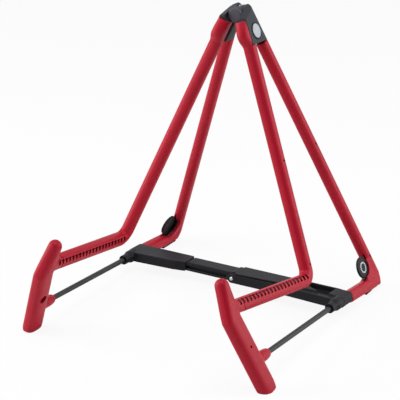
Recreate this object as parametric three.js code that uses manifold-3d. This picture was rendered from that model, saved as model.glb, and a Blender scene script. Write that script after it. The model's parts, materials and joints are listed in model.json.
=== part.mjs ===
// A folding guitar stand: two rigid side frames hang on one top pin and are tied by a crossbar that folds upwards.
// Millimetres. X runs across the stand, Y from front to back, Z up. The floor is z = 0.
//
// A side frame is drawn in its own plane: "along" is the distance behind the front end of the pin, "rise" is the
// distance above the pin (negative below it) and "out" is the distance from the plane in which the two frames meet
// when folded. The pin and the two rods are parallel, so the frames swing about the pin and the bar about the rods.
import * as THREE from 'three';
import { mergeVertices } from 'three/addons/utils/BufferGeometryUtils.js';
import Module from 'manifold-3d';

const wasm = await Module();
wasm.setup();

// Stance
const pinHeight = 330;
const frameTilt = THREE.MathUtils.degToRad(22.03);
const framePitch = THREE.MathUtils.degToRad(4.09);
const foldGap = 0.42;
const fit = 0.35;
const overrun = 2;
const weld = 0.0001;

// Front arm and its cradle
const armDiameter = 14.3;
const armTopBack = 3;
const bendForward = 25.2;
const bendHeight = 60.4;
const bendRadius = 12;
const cradleForward = 193.6;
const cradleHeight = 91.1;
const cradleDepth = 14.8;
const cradleThickness = 14;
const podLength = 28;
const podBulge = 7.4;
const podThickening = 0.4;

// Slots along the cradle
const slotCount = 21;
const slotStart = 13.6;
const slotPitch = 7.2;
const slotWidth = 3.4;
const slotDepth = 4.6;
const slotTop = 1;
const slotHeight = 5.9;
const tenonLength = 11;
const tenonHeight = 8;
const tenonThickness = 6.6;

// Front foot with its horn
const hornForward = 193.1;
const hornHeight = 114.2;
const hornDiameter = 14.8;
const kinkForward = 194.9;
const kinkHeight = 80.7;
const footForward = 171.6;
const footEndHeight = 7.5;
const footWidth = 24.8;
const footThickness = 16;
const bossDiameter = 13;
const bossMouth = 9.4;
const bossBack = 148;
const bossTaper = 9;
const screwRecess = 8.6;
const screwRecessDepth = 6.4;
const screwHeadDiameter = 7.4;
const screwHeadHeight = 2.4;
const screwShank = 3;
const screwLength = 6;
const screwForward = 186;
const screwHeight = 49.3;

// Rod
const rodDiameter = 6;
const rodHeight = 19.3;
const rodFront = 184;
const rodGrip = 14;

// Rear leg, short arm and heel
const legDiameter = 13.4;
const legTopBack = 15.5;
const heelBack = 122.9;
const heelHeight = 6.9;
const heelRadius = 8;
const shortArmDiameter = 13.8;
const shortArmDrop = 1.5;
const rearCutRise = 9;
const rearCutBack = 1.8;
const rearCutDrop = 6.5;
const rearCutFoot = -2.4;
const soleLength = 31;
const soleInner = 1.2;
const soleOuter = 7.2;
const soleBevel = 0.8;
const padThickness = 2;
const padInset = 0.5;

// Corner disc in the heel
const discDiameter = 24.8;
const discInner = 0.8;
const discOuter = 3.8;
const discForward = 28.4;
const discRise = 22.6;
const discGrip = 1;
const pocketGap = 2.9;
const webReach = 4.4;
const webInner = 2;
const webOuter = 3.2;
const linerInner = -2;
const linerWall = 1.2;
const gussetShare = 0.8;
const cornerHalf = 5.6;
const ringDiameter = 13.4;
const ringWidth = 2;
const ringHeight = 0.8;

// Small blind holes in the outer faces
const ventDiameter = 2.2;
const ventDepth = 2.4;
const ventDrop = 165;
const armVentLift = 15.6;
const legVentLift = 31;

// Top bracket and hinge
const bracketThickness = 14.5;
const bracketTop = 6.2;
const bracketBottom = 36;
const bracketFront = 4.8;
const bracketNose = 3.5;
const bracketShoulder = 0.8;
const shoulderDrop = 7;
const bracketBevel = 1.2;
const cheekThickness = 2.5;
const spigotDiameter = 6.4;
const spigotLength = 20;
const crossPinDiameter = 3;
const crossPinLength = 12;
const pinDiameter = 4.6;
const capDiameter = 15.8;
const capThickness = 4;
const knuckleDiameter = 17;
const knuckleLength = 10;
const washerDiameter = 9.6;
const washerThickness = 1.2;
const nutWidth = 8;
const nutThickness = 3;
const badgeDiameter = 17.6;
const badgeThickness = 1.4;
const badgeBack = 10.9;
const badgeDrop = 22.4;
const badgeRim = 1.2;

// Folding crossbar
const barFront = 19;
const barWidth = 27;
const barHeight = 10.6;
const barTaper = 3;
const plateHeight = 1.6;
const frontCheek = 4.5;
const rearCheek = 2.4;
const cheekLength = 68;
const tongueHeight = 9.6;
const tongueEnd = 15.5;
const tongueRise = 0.5;
const lipRamp = 3;
const lipStart = -3.6;
const tongueSocketEnd = 30.2;
const sleeveLength = 71.2;
const sleeveTaperLength = 14;
const sleeveTaper = 3.6;
const sleeveChamfer = 2;
const scarfLength = 4.6;
const tonguePinCover = 2;
const barrelDiameter = 11.2;
const barrelReach = 19.3;
const barrelShoulder = 9;
const barrelCone = 5;
const hubDiameter = 14.4;
const hubHeight = 12.4;
const hubChamfer = 2.6;
const hubLap = 6;
const bushDiameter = 8.8;
const bushRecess = 1.6;
const grooveHeight = 3.4;
const grooveDepth = 3;
const grooveMargin = 4;
const recessLength = 46;
const recessWidth = 21.6;
const recessSlant = 36.8;
const recessDepth = 6.4;
const recessEnd = 13.2;
const ribSpacing = 17;
const ribThickness = 2;
const hollowDepth = 5;
const barWall = 2.4;
const rivetShank = 3.2;
const rivetHeadDiameter = 4.6;
const rivetHeadHeight = 0.8;
const tonguePinDiameter = 3.4;
const tonguePinEnd = 56.2;

// Numbers of facets
const roundSides = 20;
const smallSides = 16;
const holeSides = 8;
const hexSides = 6;
const bendSteps = 7;
const domeSteps = 4;
const toeStep = 3.8;

// Shares that shape the rounded sections and the moulded swellings
const roundSquarenessShare = 2.2;
const bladeSquarenessShare = 3;
const podShares = [0.6, 0.8, 0.95, 1, 0.85, 0.4];
const podShiftShare = 0.5;
const hornSwellShare = 0.6;
const toeShares = [1, 0.97, 0.88, 0.7, 0.42];
const toeShiftShare = 0.5;
const lastDomeShare = 0.1;

// Finishes
const red = new THREE.MeshStandardMaterial({ color: 0xb8283c, roughness: 0.45, metalness: 0 });
const black = new THREE.MeshStandardMaterial({ color: 0x2b292d, roughness: 0.6, metalness: 0 });
const rubber = new THREE.MeshStandardMaterial({ color: 0x7c1a26, roughness: 0.85, metalness: 0 });
const darkSteel = new THREE.MeshStandardMaterial({ color: 0x3a3c3e, roughness: 0.4, metalness: 0.8 });
const brightSteel = new THREE.MeshStandardMaterial({ color: 0xc9cccf, roughness: 0.3, metalness: 1 });
const pale = new THREE.MeshStandardMaterial({ color: 0xd4d8dc, roughness: 0.35, metalness: 0.2 });

// The middle plane of a side frame, and the places in it that are set by their height above the floor.
const middle = armDiameter / 2 + foldGap;

function riseAt(along, height) {
  const upright = (height - pinHeight + along * Math.sin(framePitch)) / Math.cos(framePitch);
  return (upright - middle * Math.sin(frameTilt)) / Math.cos(frameTilt);
}

function place(along, height) {
  return new THREE.Vector2(along, riseAt(along, height));
}

const bend = place(-bendForward, bendHeight);
const cradleEnd = place(-cradleForward, cradleHeight);
const horn = place(-hornForward, hornHeight);
const kink = place(-kinkForward, kinkHeight);
const footEnd = place(-footForward, footEndHeight);
const heel = place(heelBack, heelHeight);
const rodRise = riseAt(0, rodHeight);
const barBack = barFront + barWidth;
const shortArmFront = new THREE.Vector2(barBack - overrun, rodRise - shortArmDrop);
const armTopRise = -capDiameter / 2 - fit - bracketShoulder - fit;
const legTopRise = -bracketBottom - fit;
const barX = middle * Math.cos(frameTilt) - rodRise * Math.sin(frameTilt);
const barZ = middle * Math.sin(frameTilt) + rodRise * Math.cos(frameTilt);
const tongueRoot = barX - tongueSocketEnd;
const sleeveMouth = barX - sleeveLength;
const tonguePinAt = barX - tonguePinEnd;

function between(a, b, share) {
  return a.clone().lerp(b, share);
}

function onArm(rise) {
  const pin = new THREE.Vector2(armTopBack, 0);
  return between(pin, bend, rise / bend.y);
}

function onLeg(rise) {
  const pin = new THREE.Vector2(legTopBack, 0);
  return between(pin, heel, rise / heel.y);
}

// Solids

function solid(geometry) {
  const bare = geometry.clone();
  bare.deleteAttribute('normal');
  bare.deleteAttribute('uv');
  const merged = mergeVertices(bare, weld);
  const vertProperties = new Float32Array(merged.attributes.position.array);
  const corners = merged.index.array;
  const kept = [];
  for (let i = 0; i < corners.length; i += 3) {
    const [a, b, c] = corners.slice(i, i + 3);
    if (a !== b && b !== c && c !== a) {
      kept.push(a, b, c);
    }
  }
  return new wasm.Manifold(new wasm.Mesh({ numProp: 3, vertProperties, triVerts: new Uint32Array(kept) }));
}

function join(...solids) {
  return solids.reduce((sum, next) => sum.add(next));
}

function cut(body, ...tools) {
  return tools.reduce((rest, tool) => rest.subtract(tool), body);
}

function surface(body) {
  const mesh = body.getMesh();
  const geometry = new THREE.BufferGeometry();
  geometry.setAttribute('position', new THREE.BufferAttribute(new Float32Array(mesh.vertProperties), 3));
  geometry.setIndex(new THREE.BufferAttribute(new Uint32Array(mesh.triVerts), 1));
  geometry.computeVertexNormals();
  return geometry;
}

function mirrored(geometry) {
  const twin = geometry.clone().scale(-1, 1, 1);
  const index = twin.index.array;
  for (let i = 0; i < index.length; i += 3) {
    const first = index[i];
    index[i] = index[i + 1];
    index[i + 1] = first;
  }
  twin.computeVertexNormals();
  return twin;
}

function block(low, high) {
  const size = high.clone().sub(low);
  const centre = low.clone().add(high).divideScalar(2);
  return solid(new THREE.BoxGeometry(size.x, size.y, size.z).translate(centre.x, centre.y, centre.z));
}

function cylinder(from, to, diameter, sides, endDiameter = diameter) {
  const axis = to.clone().sub(from);
  const geometry = new THREE.CylinderGeometry(endDiameter / 2, diameter / 2, axis.length(), sides);
  const turn = new THREE.Quaternion().setFromUnitVectors(new THREE.Vector3(0, 1, 0), axis.clone().normalize());
  const centre = from.clone().lerp(to, 1 / 2);
  return solid(geometry.applyQuaternion(turn).translate(centre.x, centre.y, centre.z));
}

// A drum about a line that runs outwards through a place in the frame's plane.
function drum(at, fromOut, toOut, diameter, sides, endDiameter) {
  const from = new THREE.Vector3(fromOut, at.x, at.y);
  const to = new THREE.Vector3(toOut, at.x, at.y);
  return cylinder(from, to, diameter, sides, endDiameter);
}

// A drum about a line that runs from front to back.
function spindle(x, z, fromAlong, toAlong, diameter, sides, endDiameter) {
  const from = new THREE.Vector3(x, fromAlong, z);
  const to = new THREE.Vector3(x, toAlong, z);
  return cylinder(from, to, diameter, sides, endDiameter);
}

// A turned piece about a line that runs from front to back. Each station is a place along it and a diameter.
function turned(x, z, stations) {
  const outline = stations.map(([along, diameter]) => new THREE.Vector2(diameter / 2, along));
  outline.unshift(new THREE.Vector2(0, outline[0].y));
  outline.push(new THREE.Vector2(0, outline[outline.length - 1].y));
  return solid(new THREE.LatheGeometry(outline, roundSides).translate(x, 0, z));
}

function extruded(points, thickness, bevel) {
  const settings = { depth: thickness, bevelEnabled: false };
  if (bevel > 0) {
    settings.depth = thickness - 2 * bevel;
    settings.bevelEnabled = true;
    settings.bevelThickness = bevel;
    settings.bevelSize = bevel;
    settings.bevelOffset = -bevel;
    settings.bevelSegments = 2;
  }
  const geometry = new THREE.ExtrudeGeometry(new THREE.Shape(points), settings);
  return bevel > 0 ? geometry.translate(0, 0, bevel) : geometry;
}

// A plate in the frame's plane: the outline's x runs along the frame, its y rises and its thickness goes outwards.
function plate(points, fromOut, toOut, bevel = 0) {
  const toFrame = new THREE.Matrix4().makeBasis(
    new THREE.Vector3(0, 1, 0),
    new THREE.Vector3(0, 0, 1),
    new THREE.Vector3(1, 0, 0),
  );
  return solid(extruded(points, toOut - fromOut, bevel).applyMatrix4(toFrame).translate(fromOut, 0, 0));
}

// A plate that stands across the bar: the outline lies in x and z and its thickness runs from front to back.
function profile(points, fromAlong, toAlong, bevel = 0) {
  return solid(extruded(points, toAlong - fromAlong, bevel).rotateX(Math.PI / 2).translate(0, toAlong, 0));
}

// A plate that lies flat: the outline lies in x and along and its thickness rises.
function deck(points, fromZ, toZ, bevel = 0) {
  return solid(extruded(points, toZ - fromZ, bevel).translate(0, 0, fromZ));
}

// A closed skin through rounded sections that follow one another in the frame's plane.
function loft(stations) {
  const positions = [];
  const indices = [];
  for (const { at, heading, width, thickness, squareness, shift = 0 } of stations) {
    const across = new THREE.Vector2(-Math.sin(heading), Math.cos(heading));
    for (let i = 0; i < roundSides; i += 1) {
      const turn = (2 * Math.PI * (i + 1 / 2)) / roundSides;
      const c = Math.cos(turn);
      const s = Math.sin(turn);
      const sideways = shift + (Math.sign(c) * Math.abs(c) ** (2 / squareness) * width) / 2;
      const outwards = (Math.sign(s) * Math.abs(s) ** (2 / squareness) * thickness) / 2;
      positions.push(middle + outwards, at.x + across.x * sideways, at.y + across.y * sideways);
    }
  }
  const last = stations.length - 1;
  for (let ring = 0; ring < last; ring += 1) {
    for (let i = 0; i < roundSides; i += 1) {
      const a = ring * roundSides + i;
      const b = ring * roundSides + ((i + 1) % roundSides);
      indices.push(a, b, a + roundSides, b, b + roundSides, a + roundSides);
    }
  }
  for (let i = 1; i < roundSides - 1; i += 1) {
    indices.push(0, i + 1, i);
    indices.push(last * roundSides, last * roundSides + i, last * roundSides + i + 1);
  }
  const geometry = new THREE.BufferGeometry();
  geometry.setAttribute('position', new THREE.Float32BufferAttribute(positions, 3));
  geometry.setIndex(indices);
  return solid(geometry);
}

function headingOf(from, to) {
  return Math.atan2(to.y - from.y, to.x - from.x);
}

// The places and headings of a line that turns one rounded corner.
function cornered(start, corner, end, radius) {
  const before = headingOf(start, corner);
  const after = headingOf(corner, end);
  const turn = Math.atan2(Math.sin(after - before), Math.cos(after - before));
  const reach = radius * Math.tan(Math.abs(turn) / 2);
  const side = Math.sign(turn);
  const entry = corner.clone().sub(new THREE.Vector2(Math.cos(before), Math.sin(before)).multiplyScalar(reach));
  const centre = entry.clone().add(
    new THREE.Vector2(-Math.sin(before), Math.cos(before)).multiplyScalar(side * radius),
  );
  const places = [{ at: start, heading: before, share: 0 }];
  for (let i = 0; i <= bendSteps; i += 1) {
    const heading = before + (turn * i) / bendSteps;
    const outward = new THREE.Vector2(Math.sin(heading), -Math.cos(heading)).multiplyScalar(side * radius);
    places.push({ at: centre.clone().add(outward), heading, share: i / bendSteps });
  }
  places.push({ at: end, heading: after, share: 1 });
  return places;
}

// A rounded end: the last section goes on for the given length and closes like a dome.
function domed(station, length, direction) {
  const ends = [];
  for (let i = 1; i <= domeSteps; i += 1) {
    const turn = (Math.PI / 2) * (i / domeSteps) * (1 - lastDomeShare);
    const ahead = new THREE.Vector2(Math.cos(station.heading), Math.sin(station.heading));
    const at = station.at.clone().add(ahead.multiplyScalar(direction * length * Math.sin(turn)));
    const shrink = Math.cos(turn);
    ends.push({ ...station, at, width: station.width * shrink, thickness: station.thickness * shrink });
  }
  return ends;
}

// Everything below the floor, as a side frame sees it.
const standMatrix = new THREE.Matrix4()
  .makeTranslation(0, 0, pinHeight)
  .multiply(new THREE.Matrix4().makeRotationX(-framePitch));
const sideMatrix = standMatrix.clone().multiply(new THREE.Matrix4().makeRotationY(-frameTilt));

function ground() {
  const slab = new THREE.BoxGeometry(2 * pinHeight, 2 * pinHeight, pinHeight).translate(0, 0, -pinHeight / 2);
  return solid(slab.applyMatrix4(sideMatrix.clone().invert()));
}

// Front arm

const cradleHeading = headingOf(bend, cradleEnd);
const cradleLength = bend.distanceTo(cradleEnd);
const seam = slotStart + slotPitch;

// A place on the cradle: its distance from the foot's centre line and its height above the cradle's centre line.
function onCradle(distance, above) {
  const at = between(cradleEnd, bend, distance / cradleLength);
  return at.add(new THREE.Vector2(Math.sin(cradleHeading), -Math.cos(cradleHeading)).multiplyScalar(above));
}

function cradleBox(nearDistance, farDistance, low, high, fromOut, toOut) {
  const corners = [
    onCradle(nearDistance, low),
    onCradle(farDistance, low),
    onCradle(farDistance, high),
    onCradle(nearDistance, high),
  ];
  return plate(corners, fromOut, toOut);
}

function slots() {
  const pockets = [];
  const high = cradleDepth / 2 - slotTop;
  const low = high - slotHeight;
  const face = middle + cradleThickness / 2;
  const back = middle - cradleThickness / 2;
  for (let i = 0; i < slotCount; i += 1) {
    const centre = slotStart + i * slotPitch;
    const near = centre - slotWidth / 2;
    const far = centre + slotWidth / 2;
    pockets.push(cradleBox(near, far, low, high, face - slotDepth, face + overrun));
    pockets.push(cradleBox(near, far, low, high, back - overrun, back + slotDepth));
  }
  return join(...pockets);
}

function tenon(clearance) {
  const half = tenonHeight / 2 + clearance;
  const fromOut = middle - tenonThickness / 2 - clearance;
  const toOut = middle + tenonThickness / 2 + clearance;
  const near = seam - tenonLength - clearance;
  return cradleBox(near, seam + overrun, -half, half, fromOut, toOut);
}

function vent(at, face) {
  return drum(at, face - ventDepth, face + overrun, ventDiameter, holeSides);
}

// A round peg in the middle plane, from one place to another.
function peg(from, to, diameter) {
  return cylinder(
    new THREE.Vector3(middle, from.x, from.y),
    new THREE.Vector3(middle, to.x, to.y),
    diameter,
    smallSides,
  );
}

// Everything above a height in the side frame.
function above(rise) {
  return block(new THREE.Vector3(-pinHeight, -pinHeight, rise), new THREE.Vector3(pinHeight, pinHeight, pinHeight));
}

function frontArm() {
  const top = onArm(armTopRise + overrun);
  const podEnd = onArm(armTopRise - podLength);
  const stop = onCradle(seam + fit, 0);
  const route = cornered(podEnd, bend, stop, bendRadius);
  const stations = [];
  podShares.forEach((swellShare, i) => {
    const share = i / podShares.length;
    stations.push({
      at: between(top, podEnd, share),
      heading: route[0].heading,
      width: armDiameter + podBulge * swellShare,
      thickness: armDiameter + podThickening * swellShare,
      squareness: THREE.MathUtils.lerp(bladeSquarenessShare, roundSquarenessShare, share),
      shift: -podBulge * swellShare * podShiftShare,
    });
  });
  for (const { at, heading, share } of route) {
    stations.push({
      at,
      heading,
      width: THREE.MathUtils.lerp(armDiameter, cradleDepth, share),
      thickness: THREE.MathUtils.lerp(armDiameter, cradleThickness, share),
      squareness: THREE.MathUtils.lerp(roundSquarenessShare, bladeSquarenessShare, share),
    });
  }
  const face = middle + armDiameter / 2;
  const body = join(cut(loft(stations), above(armTopRise)), tenon(0));
  const hollow = peg(onArm(0), onArm(armTopRise - spigotLength - fit), spigotDiameter + 2 * fit);
  const highVent = vent(onArm(-ventDrop), face);
  const lowVent = vent(onArm(bend.y + armVentLift), face);
  const pinHole = crossPin(onArm(armTopRise - spigotLength / 2), fit);
  return cut(body, slots(), hollow, highVent, lowVent, pinHole, bracketCheek(fit));
}

// Front foot

const screwAt = place(-screwForward, screwHeight);

function rodSolid(diameter, front, back) {
  return cylinder(
    new THREE.Vector3(middle, front, rodRise),
    new THREE.Vector3(middle, back, rodRise),
    diameter,
    smallSides,
  );
}

function foot() {
  const lower = headingOf(kink, footEnd);
  const upper = headingOf(horn, kink);
  const hornStation = {
    at: horn,
    heading: upper,
    width: hornDiameter,
    thickness: hornDiameter,
    squareness: roundSquarenessShare,
  };
  const full = { width: footWidth, thickness: footThickness, squareness: bladeSquarenessShare };
  const swell = {
    at: between(horn, kink, hornSwellShare),
    heading: upper,
    width: THREE.MathUtils.lerp(hornDiameter, footWidth, hornSwellShare),
    thickness: THREE.MathUtils.lerp(hornDiameter, footThickness, hornSwellShare),
    squareness: bladeSquarenessShare,
  };
  // The toe narrows more from its front edge than from its rear edge.
  const along = new THREE.Vector2(Math.cos(lower), Math.sin(lower));
  const toe = toeShares.map((share, i) => ({
    at: footEnd.clone().add(along.clone().multiplyScalar(i * toeStep)),
    heading: lower,
    width: footWidth * share,
    thickness: footThickness * Math.sqrt(share),
    squareness: bladeSquarenessShare,
    shift: (footWidth * (1 - share) * toeShiftShare) / 2,
  }));
  const stations = [
    ...domed(hornStation, hornDiameter / 2, -1).reverse(),
    hornStation,
    swell,
    { at: kink, heading: (upper + lower) / 2, ...full },
    ...toe,
  ];
  const stubStations = [0, seam].map((distance) => ({
    at: onCradle(distance, 0),
    heading: cradleHeading + Math.PI,
    width: cradleDepth,
    thickness: cradleThickness,
    squareness: bladeSquarenessShare,
  }));
  const boss = turned(middle, rodRise, [
    [-footForward, bossDiameter],
    [-bossBack - bossTaper, bossDiameter],
    [-bossBack, bossMouth],
  ]);
  const innerFace = middle - footThickness / 2;
  const recess = drum(screwAt, innerFace - overrun, innerFace + screwRecessDepth, screwRecess, smallSides);
  const shank = drum(screwAt, innerFace, innerFace + screwRecessDepth + screwLength + fit, screwShank + 2 * fit, holeSides);
  return cut(
    join(loft(stations), loft(stubStations), boss),
    tenon(fit),
    slots(),
    rodSolid(rodDiameter + 2 * fit, -rodFront - fit, overrun),
    recess,
    shank,
    vent(screwAt, middle + footThickness / 2),
    ground(),
  );
}

function footScrew() {
  const innerFace = middle - footThickness / 2;
  const at = screwAt;
  const seat = innerFace + screwRecessDepth - fit;
  const head = drum(at, seat - screwHeadHeight, seat, screwHeadDiameter, smallSides);
  const shank = drum(at, seat - screwHeadHeight / 2, seat + screwLength, screwShank, holeSides);
  const socket = drum(at, seat - screwHeadHeight - overrun, seat - screwHeadHeight / 2, screwShank, hexSides);
  return cut(join(head, shank), socket);
}

function rod() {
  return rodSolid(rodDiameter, -rodFront, barBack + rodGrip);
}

// Rear leg

const discAt = new THREE.Vector2(heel.x - discForward, heel.y + discRise);

function soleOutline() {
  const back = heel.x + rearCutFoot - padInset;
  const front = heel.x - soleLength;
  const bottom = heel.y - legDiameter;
  return [
    new THREE.Vector2(back + soleBevel, bottom),
    new THREE.Vector2(back - soleBevel, heel.y),
    new THREE.Vector2(front + soleBevel, heel.y),
    new THREE.Vector2(front, bottom),
  ];
}

// Everything behind the upright cut of the heel.
function heelRear() {
  const high = new THREE.Vector2(heel.x + rearCutBack, heel.y + rearCutRise);
  const low = new THREE.Vector2(heel.x + rearCutFoot, heel.y - rearCutDrop);
  const reach = 2 * legDiameter;
  return plate(
    [
      high,
      low.clone().add(low.clone().sub(high)),
      new THREE.Vector2(heel.x + reach, heel.y - reach),
      new THREE.Vector2(heel.x + reach, high.y),
    ],
    middle - legDiameter,
    middle + legDiameter,
  );
}

// Everything below a level above the floor.
function below(level) {
  return ground().translate(level * Math.sin(frameTilt), 0, level * Math.cos(frameTilt));
}

function legRoute() {
  return cornered(onLeg(legTopRise + legDiameter), heel, shortArmFront, heelRadius);
}

function legSkin() {
  return loft(legRoute().map(({ at, heading, share }) => ({
    at,
    heading,
    width: THREE.MathUtils.lerp(legDiameter, shortArmDiameter, share),
    thickness: THREE.MathUtils.lerp(legDiameter, shortArmDiameter, share),
    squareness: THREE.MathUtils.lerp(roundSquarenessShare, bladeSquarenessShare, share),
  })));
}

// Everything low down in front of a place along the frame.
function ahead(along) {
  const top = rodRise + 2 * legDiameter;
  return block(new THREE.Vector3(-pinHeight, -pinHeight, -2 * pinHeight), new THREE.Vector3(pinHeight, along, top));
}

// A straight length of the leg's section that runs past the heel.
function stub(from, to, width) {
  const heading = headingOf(from, to);
  const past = to.clone().add(new THREE.Vector2(Math.cos(heading), Math.sin(heading)).multiplyScalar(legDiameter));
  return loft([from, past].map((at) => ({
    at,
    heading,
    width,
    thickness: width,
    squareness: bladeSquarenessShare,
  })));
}

// The leg and the short arm meet in a mitre.
function mitre() {
  const onShortArm = between(shortArmFront, heel, 1 / 2);
  return stub(onLeg(heel.y + legDiameter), heel, legDiameter)
    .intersect(stub(onShortArm, heel, shortArmDiameter));
}

function rearLeg() {
  const sole = plate(soleOutline(), soleInner, soleOuter, soleBevel);
  const reach = discDiameter / 2;
  const gusset = [
    heel,
    onLeg(discAt.y + reach * gussetShare),
    discAt,
    new THREE.Vector2(discAt.x, heel.y),
  ];
  const corner = plate(gusset.reverse(), middle - cornerHalf, middle + cornerHalf);
  const spine = peg(onLeg(2 * legTopRise), onLeg(legTopRise + spigotLength), spigotDiameter);
  const face = middle + legDiameter / 2;
  return cut(
    join(cut(legSkin(), above(legTopRise)), mitre(), sole, corner, spine),
    discSeat(),
    heelRear(),
    ahead(barBack + fit),
    rodSolid(rodDiameter + 2 * fit, barBack - overrun, barBack + rodGrip + fit),
    vent(onLeg(-ventDrop), face),
    vent(onLeg(heel.y + legVentLift), face),
    crossPin(onLeg(legTopRise + spigotLength / 2), fit),
    below(padThickness + fit),
  );
}

// The seat in the inner corner: a pocket from inside, a groove for the web and a narrower mouth outside.
function discSeat() {
  const pocketDiameter = discDiameter + 2 * pocketGap;
  const webDiameter = discDiameter + 2 * webReach + 2 * fit;
  const floor = middle + webOuter + fit;
  return join(
    drum(discAt, middle - legDiameter, floor, pocketDiameter, roundSides),
    drum(discAt, middle + webInner - fit, floor, webDiameter, roundSides),
    drum(discAt, middle, middle + discOuter + fit, discDiameter + 2 * fit, roundSides),
    drum(discAt, middle, middle + legDiameter, discDiameter - 2 * discGrip, roundSides),
  );
}

// The web fills the sector of the corner between the leg and the short arm, and its rim lines the pocket.
function discWeb() {
  const radius = discDiameter / 2 + webReach;
  const toLeg = headingOf(heel, onLeg(0)) - Math.PI / 2;
  const toArm = headingOf(heel, shortArmFront) + Math.PI / 2;
  const legWay = new THREE.Vector2(Math.cos(toLeg), Math.sin(toLeg)).multiplyScalar(radius);
  const armWay = new THREE.Vector2(Math.cos(toArm), Math.sin(toArm)).multiplyScalar(radius);
  const outline = [
    discAt,
    discAt.clone().add(armWay),
    discAt.clone().add(armWay).add(legWay),
    discAt.clone().add(legWay),
  ];
  const through = (diameter) => drum(discAt, middle - legDiameter, middle + legDiameter, diameter, roundSides);
  const web = plate(outline, middle + webInner, middle + webOuter).intersect(through(2 * radius));
  const linerDiameter = discDiameter + 2 * pocketGap - 2 * fit;
  const liner = plate(outline, middle + linerInner, middle + webOuter).intersect(through(linerDiameter));
  return join(web, cut(liner, through(linerDiameter - 2 * linerWall)));
}

function ringSolid(face, grow) {
  const outer = drum(discAt, face - ringHeight - grow, face + ringHeight / 2, ringDiameter + 2 * grow, roundSides);
  const inner = drum(
    discAt,
    face - overrun,
    face + overrun,
    ringDiameter - 2 * ringWidth - 2 * grow,
    roundSides,
  );
  return cut(outer, inner);
}

function heelDisc() {
  const near = middle + discInner;
  const far = middle + discOuter;
  const rim = discDiameter - ringWidth;
  const disc = join(
    drum(discAt, near, far, rim, roundSides),
    drum(discAt, near + ringHeight / 2, far - ringHeight / 2, discDiameter, roundSides),
    discWeb(),
  );
  return cut(disc, ringSolid(far, fit));
}

function heelRing() {
  return ringSolid(middle + discOuter, 0);
}

function heelPad() {
  const pad = plate(soleOutline(), soleInner + padInset, soleOuter - padInset, soleBevel);
  return cut(pad.intersect(below(padThickness)), ground());
}

// Top bracket and hinge

const knuckleFront = capThickness + fit;
const knuckleMiddle = knuckleFront + knuckleLength;
const knuckleBack = knuckleMiddle + fit + knuckleLength;

function crossPin(at, grow) {
  const from = foldGap + (grow > 0 ? -overrun : fit);
  return drum(at, from, foldGap + crossPinLength + grow, crossPinDiameter + 2 * grow, holeSides);
}

// The cheek of the bracket that laps the outer side of the arm.
function bracketCheek(grow) {
  const face = foldGap + bracketThickness;
  const outline = [
    new THREE.Vector2(-bracketFront - grow, -bracketNose),
    new THREE.Vector2(-bracketFront - grow, -bracketBottom - grow),
    new THREE.Vector2(onLeg(-bracketBottom).x, -bracketBottom - grow),
    new THREE.Vector2(onLeg(0).x, -bracketNose),
  ];
  return grow > 0
    ? plate(outline, face - cheekThickness - grow, face + overrun)
    : plate(outline, face - cheekThickness, face, bracketBevel);
}

// The far side of the middle plane of the stand, as a side frame sees it.
function otherSide() {
  const size = 2 * bracketBottom;
  return solid(new THREE.BoxGeometry(size, 2 * size, size).translate(-size / 2 + fit / 2, 0, 0).rotateY(frameTilt));
}

// Everything above the sloping shoulder of the bracket, which falls outwards and to the front.
function shoulderCut() {
  const inner = new THREE.Vector3(bracketBevel, 0, bracketTop);
  const outerFront = new THREE.Vector3(foldGap + bracketThickness, -bracketFront, -shoulderDrop);
  const outerBack = new THREE.Vector3(foldGap + bracketThickness, onLeg(0).x, overrun);
  const normal = outerFront.clone().sub(inner).cross(outerBack.clone().sub(inner)).normalize();
  if (normal.z < 0) {
    normal.negate();
  }
  const turn = new THREE.Quaternion().setFromUnitVectors(new THREE.Vector3(0, 0, 1), normal);
  const size = 2 * bracketBottom;
  const lid = new THREE.BoxGeometry(2 * size, 2 * size, size).translate(0, 0, size / 2).applyQuaternion(turn);
  return solid(lid.translate(inner.x, inner.y, inner.z));
}

// The rounded post that carries on the line of the leg.
function bracketPost() {
  const ends = [onLeg(-bracketBottom - legDiameter), onLeg(bracketTop)];
  const heading = headingOf(ends[0], ends[1]);
  const stations = ends.map((at) => ({
    at,
    heading,
    width: legDiameter,
    thickness: legDiameter,
    squareness: roundSquarenessShare,
  }));
  return loft(stations).intersect(above(-bracketBottom));
}

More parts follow.
